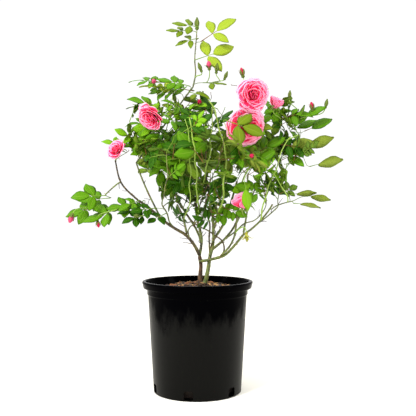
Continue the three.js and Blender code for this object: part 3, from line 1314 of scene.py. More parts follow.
@dataclass(frozen=True)
class Habit:
    """How the outer leaves of one mass hang.

    Attributes:
        leaves: Number of leaves that reach its edges.
        leaflets: Number of leaflets on each.
        long: Length of a leaf, in mm.
        flat: How far its faces turn to the light at the front, from 0 for edge on to 1.
        tint: Its colour.
        under: Whether its undersides face the front.
        rise: How far it points up.
    """

    leaves: int
    leaflets: int
    long: float
    flat: float
    tint: Tint
    under: bool = False
    rise: float = 0.0


# The thin masses at the end of an arm or a shoot, and those with broad leaves of their own.
HABITS = {
    "top_right": Habit(2, 3, 92, 0.9, Tint.FRESH, rise=0.7),
    "top_left": Habit(3, 3, 52, 0.7, Tint.OLIVE),
    "left_top": Habit(4, 5, 76, 0.6, Tint.MID),
    "left_shoulder": Habit(4, 3, 62, 0.7, Tint.MID),
    "left_middle": Habit(5, 5, 74, 0.7, Tint.MID),
    "right_shoulder": Habit(4, 3, 62, 0.75, Tint.MID),
    "right_middle": Habit(5, 3, 72, 0.75, Tint.MID),
    "left_tip": Habit(4, 3, 54, 0.75, Tint.GRASS),
    "left_arm_tip": Habit(5, 3, 66, 0.75, Tint.MID),
    "left_arm": Habit(3, 3, 52, 0.75, Tint.MID),
    "left_spray": Habit(5, 5, 58, 0.75, Tint.DEEP),
    "right_upper_tip": Habit(4, 1, 62, 0.65, Tint.MID),
    "right_far": Habit(3, 1, 70, 0.9, Tint.OLIVE, True),
    "right_arm": Habit(3, 1, 54, 0.6, Tint.OLIVE, True),
    "low_bloom": Habit(2, 1, 56, 0.9, Tint.GRASS),
    "blooms": Habit(3, 1, 54, 0.85, Tint.OLIVE),
    "buds": Habit(2, 3, 52, 0.5, Tint.OLIVE),
}


@dataclass(frozen=True)
class OuterLeaf:
    """One leaf whose tip is at the edge of a mass."""

    node: str
    foot: Vector
    tip: Vector
    habit: Habit

    @staticmethod
    def of_mass(node: str, habit: Habit, limbs: Sequence[Limb]) -> list["OuterLeaf"]:
        """Reach for the corners of a mass that lie far from its wood, and spread out from the stems.

        Args:
            node: The mass.
            habit: How its leaves hang.
            limbs: Wood that may carry it.

        Returns:
            Its outer leaves.
        """
        middle = spot(node, 0.5, 0.5, 0.5)
        root = min((p for limb in limbs for p in limb.path), key=lambda p: (p - middle).length)
        away = (middle - root).normalized()
        outward = Vector((middle.x, middle.y, 0.0)).normalized()
        corners = [v.co.copy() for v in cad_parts[node].data.vertices]
        corners = [p for p in corners if (p - middle).dot(away) > 0] or corners
        reached = [root]
        made = []
        for _ in range(habit.leaves):
            tip = max(corners, key=lambda p: min((p - q).length for q in reached))
            reached.append(tip)
            run = ((tip - root).normalized() * 0.5 + outward * 0.8 + UP * habit.rise).normalized()
            foot = tip - run * min(habit.long * MM, (tip - root).length)
            made.append(OuterLeaf(node, foot, tip, habit))
        return made

    def target(self) -> Target:
        """Where the twig that carries it grows to."""
        return Target(self.foot, (self.tip - self.foot).normalized(), 0.6 * MM)

    def leaf(self, random: np.random.Generator) -> Leaf:
        """Lay the leaf out.

        Args:
            random: Source of the small differences.

        Returns:
            The leaf.
        """
        way = (self.tip - self.foot).normalized()
        level = UP - way * UP.dot(way)
        if level.length < 0.45:
            level = Vector((math.copysign(1.0, way.x), 0.0, 0.0))
        front = Vector((0.0, 1.0 if self.habit.under else -1.0, 0.0))
        flat = self.habit.flat
        normal = front * flat + level.normalized() * math.sqrt(1 - flat**2)
        span = self.habit.long * MM * random.uniform(0.92, 1.1)
        return Leaf.laid_out(self.foot, way, normal, span, self.habit.leaflets, random, 0.05)


# Share of the usual leaves in masses that are more open, or closer, than the rest.
THIN = {
    "left_shoulder": 0.45,
    "left_top": 0.4,
    "back_top": 0.5,
    "heart": 0.5,
    "back": 0.8,
    "back_low": 0.55,
    "left_inner": 0.45,
    "right_middle": 0.9,
    "right_low": 0.95,
    "front_right": 0.85,
    "under_front": 0.8,
}


# Points of a shoot's path from one leaf to the next.
SEAT_STRIDE = 3
# Nearer than this, two leaflets crowd each other.
CROWD_GAP = 11 * MM
# What is wrong with a leaf, weighed against each millimetre that it stands out: one thing that it covers,
# and each millimetre by which it crowds others.
COVER_FAULT, CROWD_FAULT = 12, 0.6
# Above this, leaves stand out of the solids no more than a share of what they may below it.
TOP_HEIGHT, TOP_PROUD = 0.54, 0.25
# A leaf with fewer faults than the first of these is taken at once, and one with more than the second never.
GOOD_ENOUGH, WORST_TAKEN = 0.3, 3.0
# The skirt of thin foliage round the foot of the crown, which stands for no mass, and where it hangs.
SKIRT = "skirt"
STEMS_X = 12 * MM
SKIRT_RADIUS = 100 * MM
SKIRT_HEIGHTS = (0.32, 0.43)


@dataclass
class Foliage:
    """All the leaves: their layout on the shoots, their blades and their stalks.

    Attributes:
        crown: Space that they fill.
        litres_per_leaf: Space that one leaf takes.
        longest: Length of the largest leaf.
        shortest: Length of the smallest.
        proud: How far a tip may stand out of the foliage solids.
        clear: Places and radii of the blooms and wands, kept clear in front.
        skirt: How far thin foliage reaches under the solids, round the canes.
        skirt_leaves: Number of leaves in it.
        tries: Number of leaves tried at one seat.
    """

    crown: Crown
    litres_per_leaf: float = 0.0265
    longest: float = 98 * MM
    shortest: float = 58 * MM
    proud: float = 10 * MM
    clear: list[tuple[Vector, float]] = field(default_factory=list)
    skirt: float = 45 * MM
    skirt_leaves: int = 34
    tries: int = 22

    def __post_init__(self) -> None:
        """Start with no leaves, and leave out the masses that hold only buds, blooms or outer leaves."""
        self.random = np.random.default_rng(self.crown.seed + 1)
        quiet = (mass("buds"), mass("blooms"), *self.crown.placed)
        self.leafy = [name for name in self.crown.masses if name not in quiet]
        self.skin = skin_of(self.leafy)
        self.copies: dict[str, Copies] = {}
        self.stalks = Draft()
        self.taken: list[Triple] = []
        self.count = 0
        self.centres = np.array([centre for centre, _ in self.clear])
        self.radii = np.array([radius for _, radius in self.clear])

    def beyond(self, point: Vector) -> float:
        """Distance from the space that leaves may take: the foliage, and a thin skirt of it round the canes.

        Args:
            point: The place.

        Returns:
            The distance, less than 0 inside.
        """
        nearest, normal, _, distance = self.skin.find_nearest(point)
        over = math.copysign(distance, (point - nearest).dot(normal))
        low, high = SKIRT_HEIGHTS
        round_canes = math.hypot(point.x - STEMS_X, point.y) < SKIRT_RADIUS and low < point.z < high
        return over - self.skirt if round_canes else over

    def in_the_way(self, point: Vector, least: float = 0.0) -> int:
        """How far a point spoils the clear places: 1 where it is in front of one, and 1 where it touches one.

        Args:
            point: The point.
            least: Radius that a clear place needs to count.

        Returns:
            0, 1 or 2.
        """
        counts = self.radii > least
        gaps = np.array(point) - self.centres
        before = gaps[:, 1] < 0.6 * self.radii
        hidden = counts & before & (np.hypot(gaps[:, 0], gaps[:, 2]) < self.radii)
        touched = counts & (np.linalg.norm(gaps, axis=1) < 0.8 * self.radii)
        return int(hidden.any()) + int(touched.any())

    def misfit(self, leaf: Leaf) -> float:
        """How badly a leaf sits: out of the foliage, in front of a bloom, or on top of others.

        Args:
            leaf: The leaf.

        Returns:
            0 for a perfect place, and more the worse it is.
        """
        faults = 0.0
        for middle, tip in zip(leaf.middles(), leaf.tips()):
            proud = self.proud if tip.z < TOP_HEIGHT else TOP_PROUD * self.proud
            faults += max(0.0, self.beyond(middle) - 0.3 * proud) / MM
            faults += max(0.0, self.beyond(tip) - proud) / MM
            faults += COVER_FAULT * (self.in_the_way(middle) + self.in_the_way(tip))
        if self.taken:
            others = np.array(self.taken[-4000:])
            for middle in leaf.middles():
                near = np.linalg.norm(others - np.array(middle), axis=1)
                faults += CROWD_FAULT * max(0.0, CROWD_GAP - float(near.min())) / MM
        return faults / len(leaf.places)

    def tint_for(self, name: str, point: Vector) -> Tint:
        """Choose the colour of a whole spray from its place.

        Args:
            name: Foliage node.
            point: Foot of the spray.

        Returns:
            The tint.
        """
        # Sprays in the top masses take the fresh and olive greens more often, partly for young growth and
        # partly as painted light on the top of the crown.
        young_and_top_lit = 0.55 if "top" in name or "buds" in name else 0.0
        # Sprays deeper under the crown's skin and lower down take the deep green more often: painted shade.
        depth = min(1.0, max(0.0, -self.crown.outside(point) / (30 * MM)))
        low = min(1.0, max(0.0, (0.5 - point.z) / 0.12))
        deep = 0.34 + 0.5 * depth + 0.1 * low
        weights = np.array([deep, 0.36, 0.24, 0.07 + 0.26 * young_and_top_lit, 0.025 + 0.6 * young_and_top_lit, 0.001])
        if young_and_top_lit > 0.3:
            weights[Tint.DEEP] *= 0.15
        return Tint(int(self.random.choice(len(weights), p=weights / weights.sum())))

    def hang(self, name: str, leaf: Leaf, tint: Tint, form: int | None = None) -> None:
        """Take up a leaf: its blades as copies, its stalk as a thin limb.

        Args:
            name: Foliage node that it belongs to.
            leaf: The leaf.
            tint: Its colour.
            form: Form of its leaflets, or None for a mixture.
        """
        into = self.copies.setdefault(name, Copies())
        own_form = int(self.random.integers(0, 4))
        for place, turn, long in zip(leaf.places, leaf.turns, leaf.lengths):
            kind = form if form is not None else own_form
            if form is None and self.random.random() < 0.25:
                kind = int(self.random.integers(0, len(LEAFLET_FORMS)))
            broad = long * self.random.uniform(0.82, 1.02)
            into.rows.append((place, turn, (broad, long, long), kind, int(tint)))
        thick = 0.85 * MM
        radii = [thick * (1.15 - 0.55 * i / 6) for i in range(7)]
        slot = 1 if self.random.random() < 0.3 else 0
        sweep(self.stalks, leaf.stalk, radii, 6, slot)
        self.taken += [tuple(middle) for middle in leaf.middles()]
        self.count += 1

    def hang_outer(self, leaves: Iterable[OuterLeaf], veils: bool = False) -> None:
        """Take up the leaves that reach the edges.

        Args:
            leaves: The leaves.
            veils: Whether they may cover a bloom.
        """
        for outer in leaves:
            form = int(self.random.choice([0, 2, 5])) if outer.habit.leaflets == 1 else None
            leaf = outer.leaf(self.random)
            if veils or not any(self.in_the_way(middle, 15 * MM) for middle in leaf.middles()):
                self.hang(outer.node, leaf, outer.habit.tint, form)

    def clothe(self, shoots: list[Limb], names: list[str]) -> None:
        """Hang leaves along the leafy shoots until each mass has its share.

        Args:
            shoots: The shoots.
            names: Mass that each shoot was grown for.
        """
        share = {mass(name): share for name, share in THIN.items()}
        litres = {name: self.crown.volumes[name] * 1000 for name in self.leafy}
        full = {name: litres[name] / self.litres_per_leaf for name in self.leafy}
        quota = {name: round(leaves * share.get(name, 1.0)) for name, leaves in full.items()}
        quota[SKIRT] = self.skirt_leaves
        seats = []
        for number, (shoot, name) in enumerate(zip(shoots, names)):
            frames = ring_frames(shoot.path)
            last = len(shoot.path) - 1
            for step, i in enumerate(range(last, 0, -SEAT_STRIDE)):
                if name == SKIRT and shoot.path[i].z > 0.4:
                    continue
                if self.beyond(shoot.path[i]) < 4 * MM:
                    seats.append((step, number, i, name, frames[i][0]))
        seats.sort(key=lambda seat: (seat[0], seat[1]))
        shoot_tints: dict[int, Tint] = {}
        for step, number, i, name, along in seats:
            if quota.get(name, 0) <= 0:
                continue
            foot = shoots[number].path[i]
            if number not in shoot_tints:
                shoot_tints[number] = self.tint_for(name, foot)
            leaf = self.best_leaf(name, foot, along, step)
            if leaf is not None:
                self.hang(name, leaf, shoot_tints[number])
                quota[name] -= 1

    def best_leaf(self, name: str, foot: Vector, along: Vector, step: int) -> Leaf | None:
        """Try leaves at one seat and keep the one that sits best.

        Args:
            name: Foliage node.
            foot: Place on the shoot.
            along: Direction of the shoot there.
            step: Number of the seat, counted back from the tip.

        Returns:
            The leaf, or None where none fits.
        """
        best, best_faults = None, WORST_TAKEN
        outward = self.crown.outward(foot)
        for attempt in range(self.tries):
            around = GOLDEN_ANGLE * step + self.random.uniform(-math.pi, math.pi)
            square = along.orthogonal().normalized()
            aside = Quaternion(along, around) @ square
            axis = along * self.random.uniform(0.2, 0.9) + aside + UP * 0.15 + outward * 0.25
            if step == 0 and attempt % 2 == 0:
                axis = along * 1.4 + aside * 0.5
            face = UP * self.random.uniform(0.3, 0.9) + outward * self.random.uniform(0.5, 1.1)
            face = face + Vector(self.random.normal(0, 0.32, 3))
            span = self.random.uniform(self.shortest, self.longest) * (1 - 0.012 * attempt)
            if name == SKIRT:
                span *= 0.72
            leaflets = int(self.random.choice([3, 5, 5, 5, 5, 7]))
            leaf = Leaf.laid_out(foot, axis, face, span, leaflets, self.random)
            faults = self.misfit(leaf)
            if faults < best_faults:
                best, best_faults = leaf, faults
            if faults < GOOD_ENOUGH:
                break
        return best

    def pieces(self, regions: dict[str, list[str]]) -> None:
        """Build the leaf blades, region by region, and all the stalks.

        Args:
            regions: Name of each piece, and the foliage nodes that it stands for.
        """
        templates = gather("leaflet", [form.mesh(f"leaflet_{i}") for i, form in enumerate(LEAFLET_FORMS)])
        dressings = {}
        for tint in Tint:
            label = tint.name.lower()
            upper = UPPER_GREENS[tint]
            under = mixed(upper, DOWNY_GREEN, 0.4)
            finishes = {
                BladePart.UPPER: VeinedBlade(f"waxy_leaf_{label}", upper),
                BladePart.UNDER: VeinedBlade(f"leaf_underside_{label}", under, 0.62, relief_mm=-0.25),
                BladePart.RIB: LivingSkin(f"leaf_rib_{label}", mixed(upper, DOWNY_GREEN, 0.35)),
            }
            dressings |= {(tint, part): finish.material() for part, finish in finishes.items()}
        tree = placed_tree("hang_leaflets", dressings)
        for region, nodes in regions.items():
            held = (*nodes, SKIRT) if region == "leaves_front" else nodes
            joined = Copies([row for node in held for row in self.copies.get(node, Copies()).rows])
            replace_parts(show(region, joined.mesh(region, templates, tree)), *nodes)
            log.info("%s: %d leaflets", region, len(joined.rows))
        # Young leaf stalks are smooth and green, and those in the sun flush red.
        stalk_skins = [
            LivingSkin("green_leaf_stalk", "#66852e", 0.5).material(),
            LivingSkin("flushed_leaf_stalk", "#6a5028", 0.5).material(),
        ]
        show("leaf_stalks", self.stalks.mesh("leaf_stalks"), stalk_skins)
        log.info("%d leaves", self.count)


# ---- blooms


@dataclass(frozen=True)
class PetalForm:
    """Shape of one petal, one unit long from its claw at the origin along +Y, its inner face up.

    Attributes:
        width: Full width.
        cup: Angle through which it curves inwards along its length, in degrees.
        hug: How far its sides curl up.
        recurve: Angle through which its rim turns back out, in degrees.
        notch: Depth of the notch in its rim.
        wave: Height of the waves in its rim.
    """

    width: float
    cup: float
    hug: float
    recurve: float
    notch: float = 0.05
    wave: float = 0.02

    def place(self, across: float, share: float, lift: float) -> Triple:
        """A point of the petal.

        Args:
            across: Side to side, from -1 to 1.
            share: Share of the length.
            lift: Height over the middle sheet.

        Returns:
            The point.
        """
        half = 0.5 * self.width * (0.17 + 0.83 * math.sin(math.pi * 0.6 * share**0.9))
        rim = share * (1 - 0.25 * abs(across) ** 2.6 * share)
        rim -= self.notch * math.exp(-((across / 0.22) ** 2)) * share**6
        bend_cup = math.radians(self.cup)
        y = z = 0.0
        steps = 12
        for i in range(steps):
            t = (i + 0.5) / steps
            turned = bend_cup * t - math.radians(self.recurve) * max(0.0, (t - 0.62) / 0.38) ** 2
            y += math.cos(turned - 0.25 * bend_cup) * rim / steps
            z += math.sin(turned - 0.25 * bend_cup) * rim / steps
        x = half * math.sin(across * (1 + 0.5 * self.hug)) / math.sin(1 + 0.5 * self.hug)
        z += self.hug * half * across * across * (0.55 + 0.45 * share)
        z += self.wave * math.sin(4.2 * across + 2 * self.width) * share**3
        return x, y, z + lift

    def mesh(self, name: str) -> Mesh:
        """Build the petal as a thin closed lens.

        Args:
            name: Name of the mesh.

        Returns:
            The template.
        """
        draft = Draft()
        rows = 8
        columns = [2 * k / rows - 1 for k in range(rows + 1)]

        def band(row: int, column: int) -> int:
            """The band that a face of the inner side belongs to, by its row and column."""
            rim = row > 6 or (column in (0, 7) and row > 4)
            return PetalPart.RIM if rim else PetalPart.CLAW if row < 4 else PetalPart.BODY

        draft.add_sheet(columns, rows, self.place, 0.01, band)
        draft.add_sheet(columns, rows, self.place, -0.01, lambda row, column: PetalPart.BACK)
        return draft.mesh(name, weld=1e-4, outwards=True)


# From the tight heart of a double rose out to its guard petals.
PETAL_FORMS = (
    PetalForm(0.62, 72, 0.7, 0, 0.03, 0.01),
    PetalForm(0.74, 66, 0.55, 12, 0.04, 0.02),
    PetalForm(0.86, 54, 0.42, 30, 0.05, 0.02),
    PetalForm(0.98, 44, 0.32, 52, 0.05, 0.02),
    PetalForm(1.06, 34, 0.24, 66, 0.04, 0.02),
    PetalForm(1.0, 26, 0.28, 58, 0.06, 0.03),
)


@dataclass(frozen=True)
class Bloom:
    """One double bloom.

    Attributes:
        node: Mass that holds it.
        seat: Side of the mass that it sits on.
        across: Diameter, in mm.
        face: Direction that it looks in.
        petals: Number of petals.
        open: How far its outer petals lie back, in degrees from its axis.
        deep: How deep a cup it makes, as a share of its diameter.
    """

    node: str
    seat: Triple
    across: float
    face: Triple
    petals: int = 48
    open: float = 78.0
    deep: float = 0.3

    def middle(self) -> Vector:
        """Middle of the bloom, on the skin of its mass."""
        return edge_of(mass(self.node), self.seat)

    def axis(self) -> Vector:
        """Direction from its calyx to its middle."""
        return Vector(self.face).normalized()

    def calyx(self) -> Vector:
        """Where its petals meet."""
        return self.middle() - self.axis() * self.across * MM * self.deep

    def target(self) -> Target:
        """Where its stalk grows to."""
        foot = self.calyx() - self.axis() * self.across * MM * 0.08
        return Target(foot, self.axis(), 1.3 * MM, forks=False)

    def petal_copies(self, random: np.random.Generator, into: Copies) -> None:
        """Lay out the petals in whorls, each turned by the golden angle from the one before.

        Args:
            random: Source of the small differences.
            into: Takes the petals.
        """
        axis = self.axis()
        side = axis.orthogonal().normalized()
        start = random.uniform(0, 2 * math.pi)
        for i in range(self.petals):
            share = i / (self.petals - 1)
            angle = start + i * GOLDEN_ANGLE + random.normal(0, 0.12)
            spoke = Quaternion(axis, angle) @ side
            lean = math.radians(4 + (self.open - 4) * share**0.85 + random.normal(0, 4))
            way = axis * math.cos(lean) + spoke * math.sin(lean)
            inner = axis * math.sin(lean) - spoke * math.cos(lean)
            inner = inner + axis.cross(spoke) * random.normal(0, 0.18)
            long = 0.5 * self.across * MM * (0.6 + 0.5 * share**0.7) * random.uniform(0.95, 1.05)
            foot = self.calyx() + spoke * 0.07 * self.across * MM * share
            form = share * (len(PETAL_FORMS) - 1.4) + random.uniform(-0.4, 0.4)
            form = min(max(round(form), 0), len(PETAL_FORMS) - 1)
            whorl = Whorl.HEART if share < 0.34 else Whorl.MIDDLE if share < 0.72 else Whorl.OUTER
            broad = long * random.uniform(0.92, 1.12)
            into.rows.append((foot, facing(way, inner), (broad, long, long), form, int(whorl)))


# Two open blooms one above the other, a cup behind them, one at each left mass, and one low in the middle.
BLOOMS = (
    Bloom("blooms", (0, -1, 0.4), 58, (0.25, -0.9, -0.1), 52, 84, 0.26),
    Bloom("blooms", (-0.2, -0.7, -1), 72, (0.4, -0.8, -0.3), 46, 80, 0.3),
    Bloom("right_shoulder", (-0.6, -1, 0.6), 44, (0.35, -0.35, 0.87), 24, 30, 0.4),
    Bloom("left_shoulder", (0.2, -1, -0.5), 50, (-0.5, -0.65, -0.55), 44, 74, 0.3),
    Bloom("left_tip", (0, -1, -0.4), 40, (-0.4, -0.75, 0.4), 34, 70, 0.34),
    Bloom("low_bloom", (-0.3, -1, 0), 54, (-0.5, -0.35, 0.8), 24, 26, 0.42),
)


@dataclass(frozen=True)
class Veil:
    """A leaf that hangs across the front of a bloom.

    Attributes:
        bloom: The bloom.
        habit: How the leaf hangs.
        way: Direction in which it crosses.
        aside: How far right of the bloom its middle lies, as a share of the bloom's diameter.
    """

    bloom: Bloom
    habit: Habit
    way: Triple
    aside: float

    def leaf(self) -> OuterLeaf:
        """Lay it just clear of the petals.

        Returns:
            The leaf.
        """
        middle = self.bloom.middle() + Vector((self.aside, -0.36, 0.0)) * self.bloom.across * MM
        half = Vector(self.way).normalized() * self.habit.long * 0.5 * MM
        return OuterLeaf(mass(self.bloom.node), middle - half, middle + half, self.habit)


# An olive leaf crosses the lower of the two open blooms, and a grass-green one half hides the low bloom.
VEILS = (
    Veil(BLOOMS[1], Habit(1, 3, 74, 0.9, Tint.OLIVE), (1, 0, -0.35), -0.16),
    Veil(BLOOMS[5], Habit(1, 1, 60, 0.9, Tint.GRASS), (0.2, 0, -1), 0.26),
)


@dataclass(frozen=True)
class BudForm:
    """Shape of a bud, one unit long along +Z, its foot at the origin.

    Attributes:
        body: Greatest radius of the closed petals, or 0 for a calyx alone.
        sepal_reach: Length of a sepal.
        splay: How far the sepal tips stand away, in degrees.
        hip: Radius of the hip.
    """

    body: float
    sepal_reach: float
    splay: float
    hip: float = 0.14

    def mesh(self, name: str) -> Mesh:
        """Build the hip, the furled petals and five sepals.

        Args:
            name: Name of the mesh.

        Returns:
            The template.
        """
        draft = Draft()
        hip = self.hip
        profile = [(0, 0), (0.5 * hip, 0.01), (hip, 0.1), (0.92 * hip, 0.19), (0.5 * hip, 0.25), (0, 0.26)]
        revolve(draft, profile, 10, BudPart.HIP)
        if self.body:
            self.add_petals(draft)
        for i in range(5):
            self.add_sepal(draft, 2 * math.pi * i / 5)
        return draft.mesh(name)

    def add_petals(self, draft: Draft) -> None:
        """Add the furled petals: a twisted, grooved ovoid that ends in a point.

        Args:
            draft: Where the petals are added.
        """
        sides = 15
        shares = (0.0, 0.1, 0.25, 0.42, 0.58, 0.74, 0.87, 0.96)
        points = []
        for share in shares:
            radius = self.body * math.sin(math.pi * (0.14 + 0.82 * share)) ** 0.9
            for k in range(sides):
                angle = 2 * math.pi * k / sides
                groove = 1 + 0.13 * math.sin(3 * angle + 5 * share)
                turned = angle + 1.6 * share
                x, y = math.cos(turned) * radius * groove, math.sin(turned) * radius * groove
                points.append((x, y, 0.22 + 0.78 * share))
        draft.add(points, tube_faces(len(shares), sides), part=BudPart.PETALS)

    def add_sepal(self, draft: Draft, angle: float) -> None:
        """Add one sepal: a narrow four-sided blade that hugs the petals, then stands away.

        Args:
            draft: Mesh in the making.
            angle: Where it stands round the bud.
        """
        spoke = Vector((math.cos(angle), math.sin(angle), 0.0))
        across = UP.cross(spoke)
        stations = 7
        points = []
        for i in range(stations):
            share = i / (stations - 1)
            rise = self.sepal_reach * share
            hugging = self.body * math.sin(math.pi * min(0.96, 0.14 + 0.82 * rise / 0.78)) ** 0.9
            stand = math.radians(self.splay) * max(0.0, share - 0.25) / 0.75
            out = (max(hugging, 0.0) if self.body else 0.06) + 0.02
            reach = spoke * (out + rise * math.sin(stand)) + UP * (0.22 + rise * math.cos(stand))
            normal = (spoke * math.cos(stand) - UP * math.sin(stand)).normalized()
            half = 0.11 * math.sin(math.pi * (0.22 + 0.76 * share)) ** 1.1 + 0.006
            side, crest, keel = across * half, normal * 0.022, normal * 0.012
            points += [reach - side, reach + crest, reach + side, reach - keel]
        draft.add(points, tube_faces(stations, 4), part=BudPart.SEPAL)


BUD_FORMS = {
    BudStage.GREEN: BudForm(0.17, 0.86, 0, 0.17),
    BudStage.SHOWING: BudForm(0.21, 0.6, 8, 0.18),
    BudStage.READY: BudForm(0.25, 0.46, 34, 0.19),
    BudStage.WITHERED: BudForm(0.15, 0.7, 60, 0.16),
    BudStage.CALYX: BudForm(0.0, 0.75, 118, 0.17),
}


@dataclass(frozen=True)
class Bud:
    """One flower bud on its stalk."""

    foot: Vector
    point: Vector
    long: float
    stage: BudStage

    def target(self) -> Target:
        """Where its stalk grows to."""
        return Target(self.foot, self.point, 1.1 * MM, forks=False)


@dataclass(frozen=True)
class Truss:
    """Buds that stand side by side on one mass, or hang from it.

    Attributes:
        node: The mass.
        stages: How far each has come, from left to right.
        way: Side of the mass that they stand on.
        proud: How far they stand clear of its skin, in mm.
    """

    node: str
    stages: tuple[BudStage, ...]
    way: Triple = (0, -0.3, 1)
    proud: float = 0.0

    def buds(self, random: np.random.Generator) -> list[Bud]:
        """Space the buds evenly across the mass.

        Args:
            random: Source of the small differences.

        Returns:
            The buds.
        """
        made = []
        for i, stage in enumerate(self.stages):
            across = (i + 0.5) / len(self.stages) + random.uniform(-0.06, 0.06)
            seat = edge_of(mass(self.node), self.way, spot(mass(self.node), across, 0.45, 0.5))
            point = (Vector(self.way) + Vector((across - 0.5, 0, 0))).normalized()
            long = random.uniform(17, 22) * MM
            made.append(Bud(seat + point * (self.proud * MM - 0.4 * long), point, long, stage))
        return made


GREEN, SHOWING, READY = BudStage.GREEN, BudStage.SHOWING, BudStage.READY
DOWN = (0, -0.4, -1)
# A truss of buds under the lead shoot, a few beside the blooms, and single ones over the bush.
TRUSSES = (
    Truss("buds", (GREEN, READY, GREEN, GREEN)),
    Truss("blooms", (SHOWING, GREEN), (0, 0, 1), 4),
    Truss("right_shoulder", (GREEN,)),
    Truss("right_upper_tip", (SHOWING, GREEN)),
    Truss("left_top", (READY,), (0, -1, 0)),
    Truss("heart", (SHOWING,), (0, -1, 0.4)),
    Truss("front_right", (SHOWING,), (0, -1, 0)),
    Truss("left_arm_tip", (READY, SHOWING), DOWN),
    Truss("left_spray", (GREEN,), (-0.3, -1, 0)),
    Truss("low_bloom", (BudStage.WITHERED,), DOWN, 52),
    Truss("back_top", (GREEN, GREEN)),
    Truss("back_right", (SHOWING, GREEN), (0, 1, 0.6)),
    Truss("back_left", (READY,), (0, 1, 0.6)),
)


@dataclass
class Flowers:
    """All the blooms and buds, hung on stalks that have already been laid out."""

    blooms: tuple[Bloom, ...]
    trusses: tuple[Truss, ...]
    lead: Limb
    seed: int = 23

    def __post_init__(self) -> None:
        """Find a place for every bud."""
        random = np.random.default_rng(self.seed + 1)
        self.buds = [bud for truss in self.trusses for bud in truss.buds(random)]
        self.buds.append(Bud(self.lead.path[-1], UP, 24 * MM, BudStage.GREEN))

    def targets(self) -> list[Target]:
        """Where their stalks grow to, blooms first."""
        return [bloom.target() for bloom in self.blooms] + [bud.target() for bud in self.buds]

    def keep_clear(self) -> list[tuple[Vector, float]]:
        """Middle and radius of each bloom."""
        return [(bloom.middle(), 0.5 * bloom.across * MM) for bloom in self.blooms]

    def pieces(self) -> None:
        """Build the petals of all the blooms, and the buds with their sepals."""
        random = np.random.default_rng(self.seed)
        petals = Copies()
        for bloom in self.blooms:
            bloom.petal_copies(random, petals)
        # Petals have a velvet surface: no gloss to speak of, and light that passes through them.
        velvet = {}
        for whorl, row in PETAL_PINKS.items():
            for part, colour in zip(PetalPart, row):
                name = f"petal_{whorl.name}_{part.name}".lower()
                velvet[(whorl, part)] = LivingSkin(name, colour, 0.6, 0.7, 0.03, glow=0.18).material()
        templates = gather("petal", [form.mesh(f"petal_{i}") for i, form in enumerate(PETAL_FORMS)])
        show("petals", petals.mesh("petals", templates, placed_tree("set_petals", velvet)))

        cups = Copies()
        for bud in self.buds:
            turn = upright(bud.point) @ Quaternion(UP, random.uniform(0, 6))
            cups.rows.append((bud.foot, turn, (bud.long,) * 3, bud.stage, bud.stage))
        for bloom in self.blooms:
            long = bloom.across * MM * 0.5
            foot = bloom.calyx() - bloom.axis() * long * 0.24
            cups.rows.append((foot, upright(bloom.axis()), (long,) * 3, BudStage.CALYX, BudStage.CALYX))
        skins = {
            (stage, part): LivingSkin(f"{stage.name}_{part.name}".lower(), colour, 0.5).material()
            for stage, row in BUD_COLOURS.items()
            for part, colour in zip(BudPart, row)
        }
        meshes = [form.mesh(f"bud_{stage.name.lower()}") for stage, form in BUD_FORMS.items()]
        templates = gather("bud", meshes)
        show("buds", cups.mesh("buds", templates, placed_tree("set_buds", skins)))


# ---- canes


# Heights of the wood that thin canes, wands and dead twigs stand on.
FORK_ZONE, WAND_ZONE, SPUR_ZONE = (0.24, 0.33), (0.33, 0.42), (0.25, 0.42)
# From one swelling of the bark to the next, half the width of one, and its height as a share of the radius.
KNOT_GAP, KNOT_WIDTH, KNOT_SWELL = 38 * MM, 2.2 * MM, 0.16


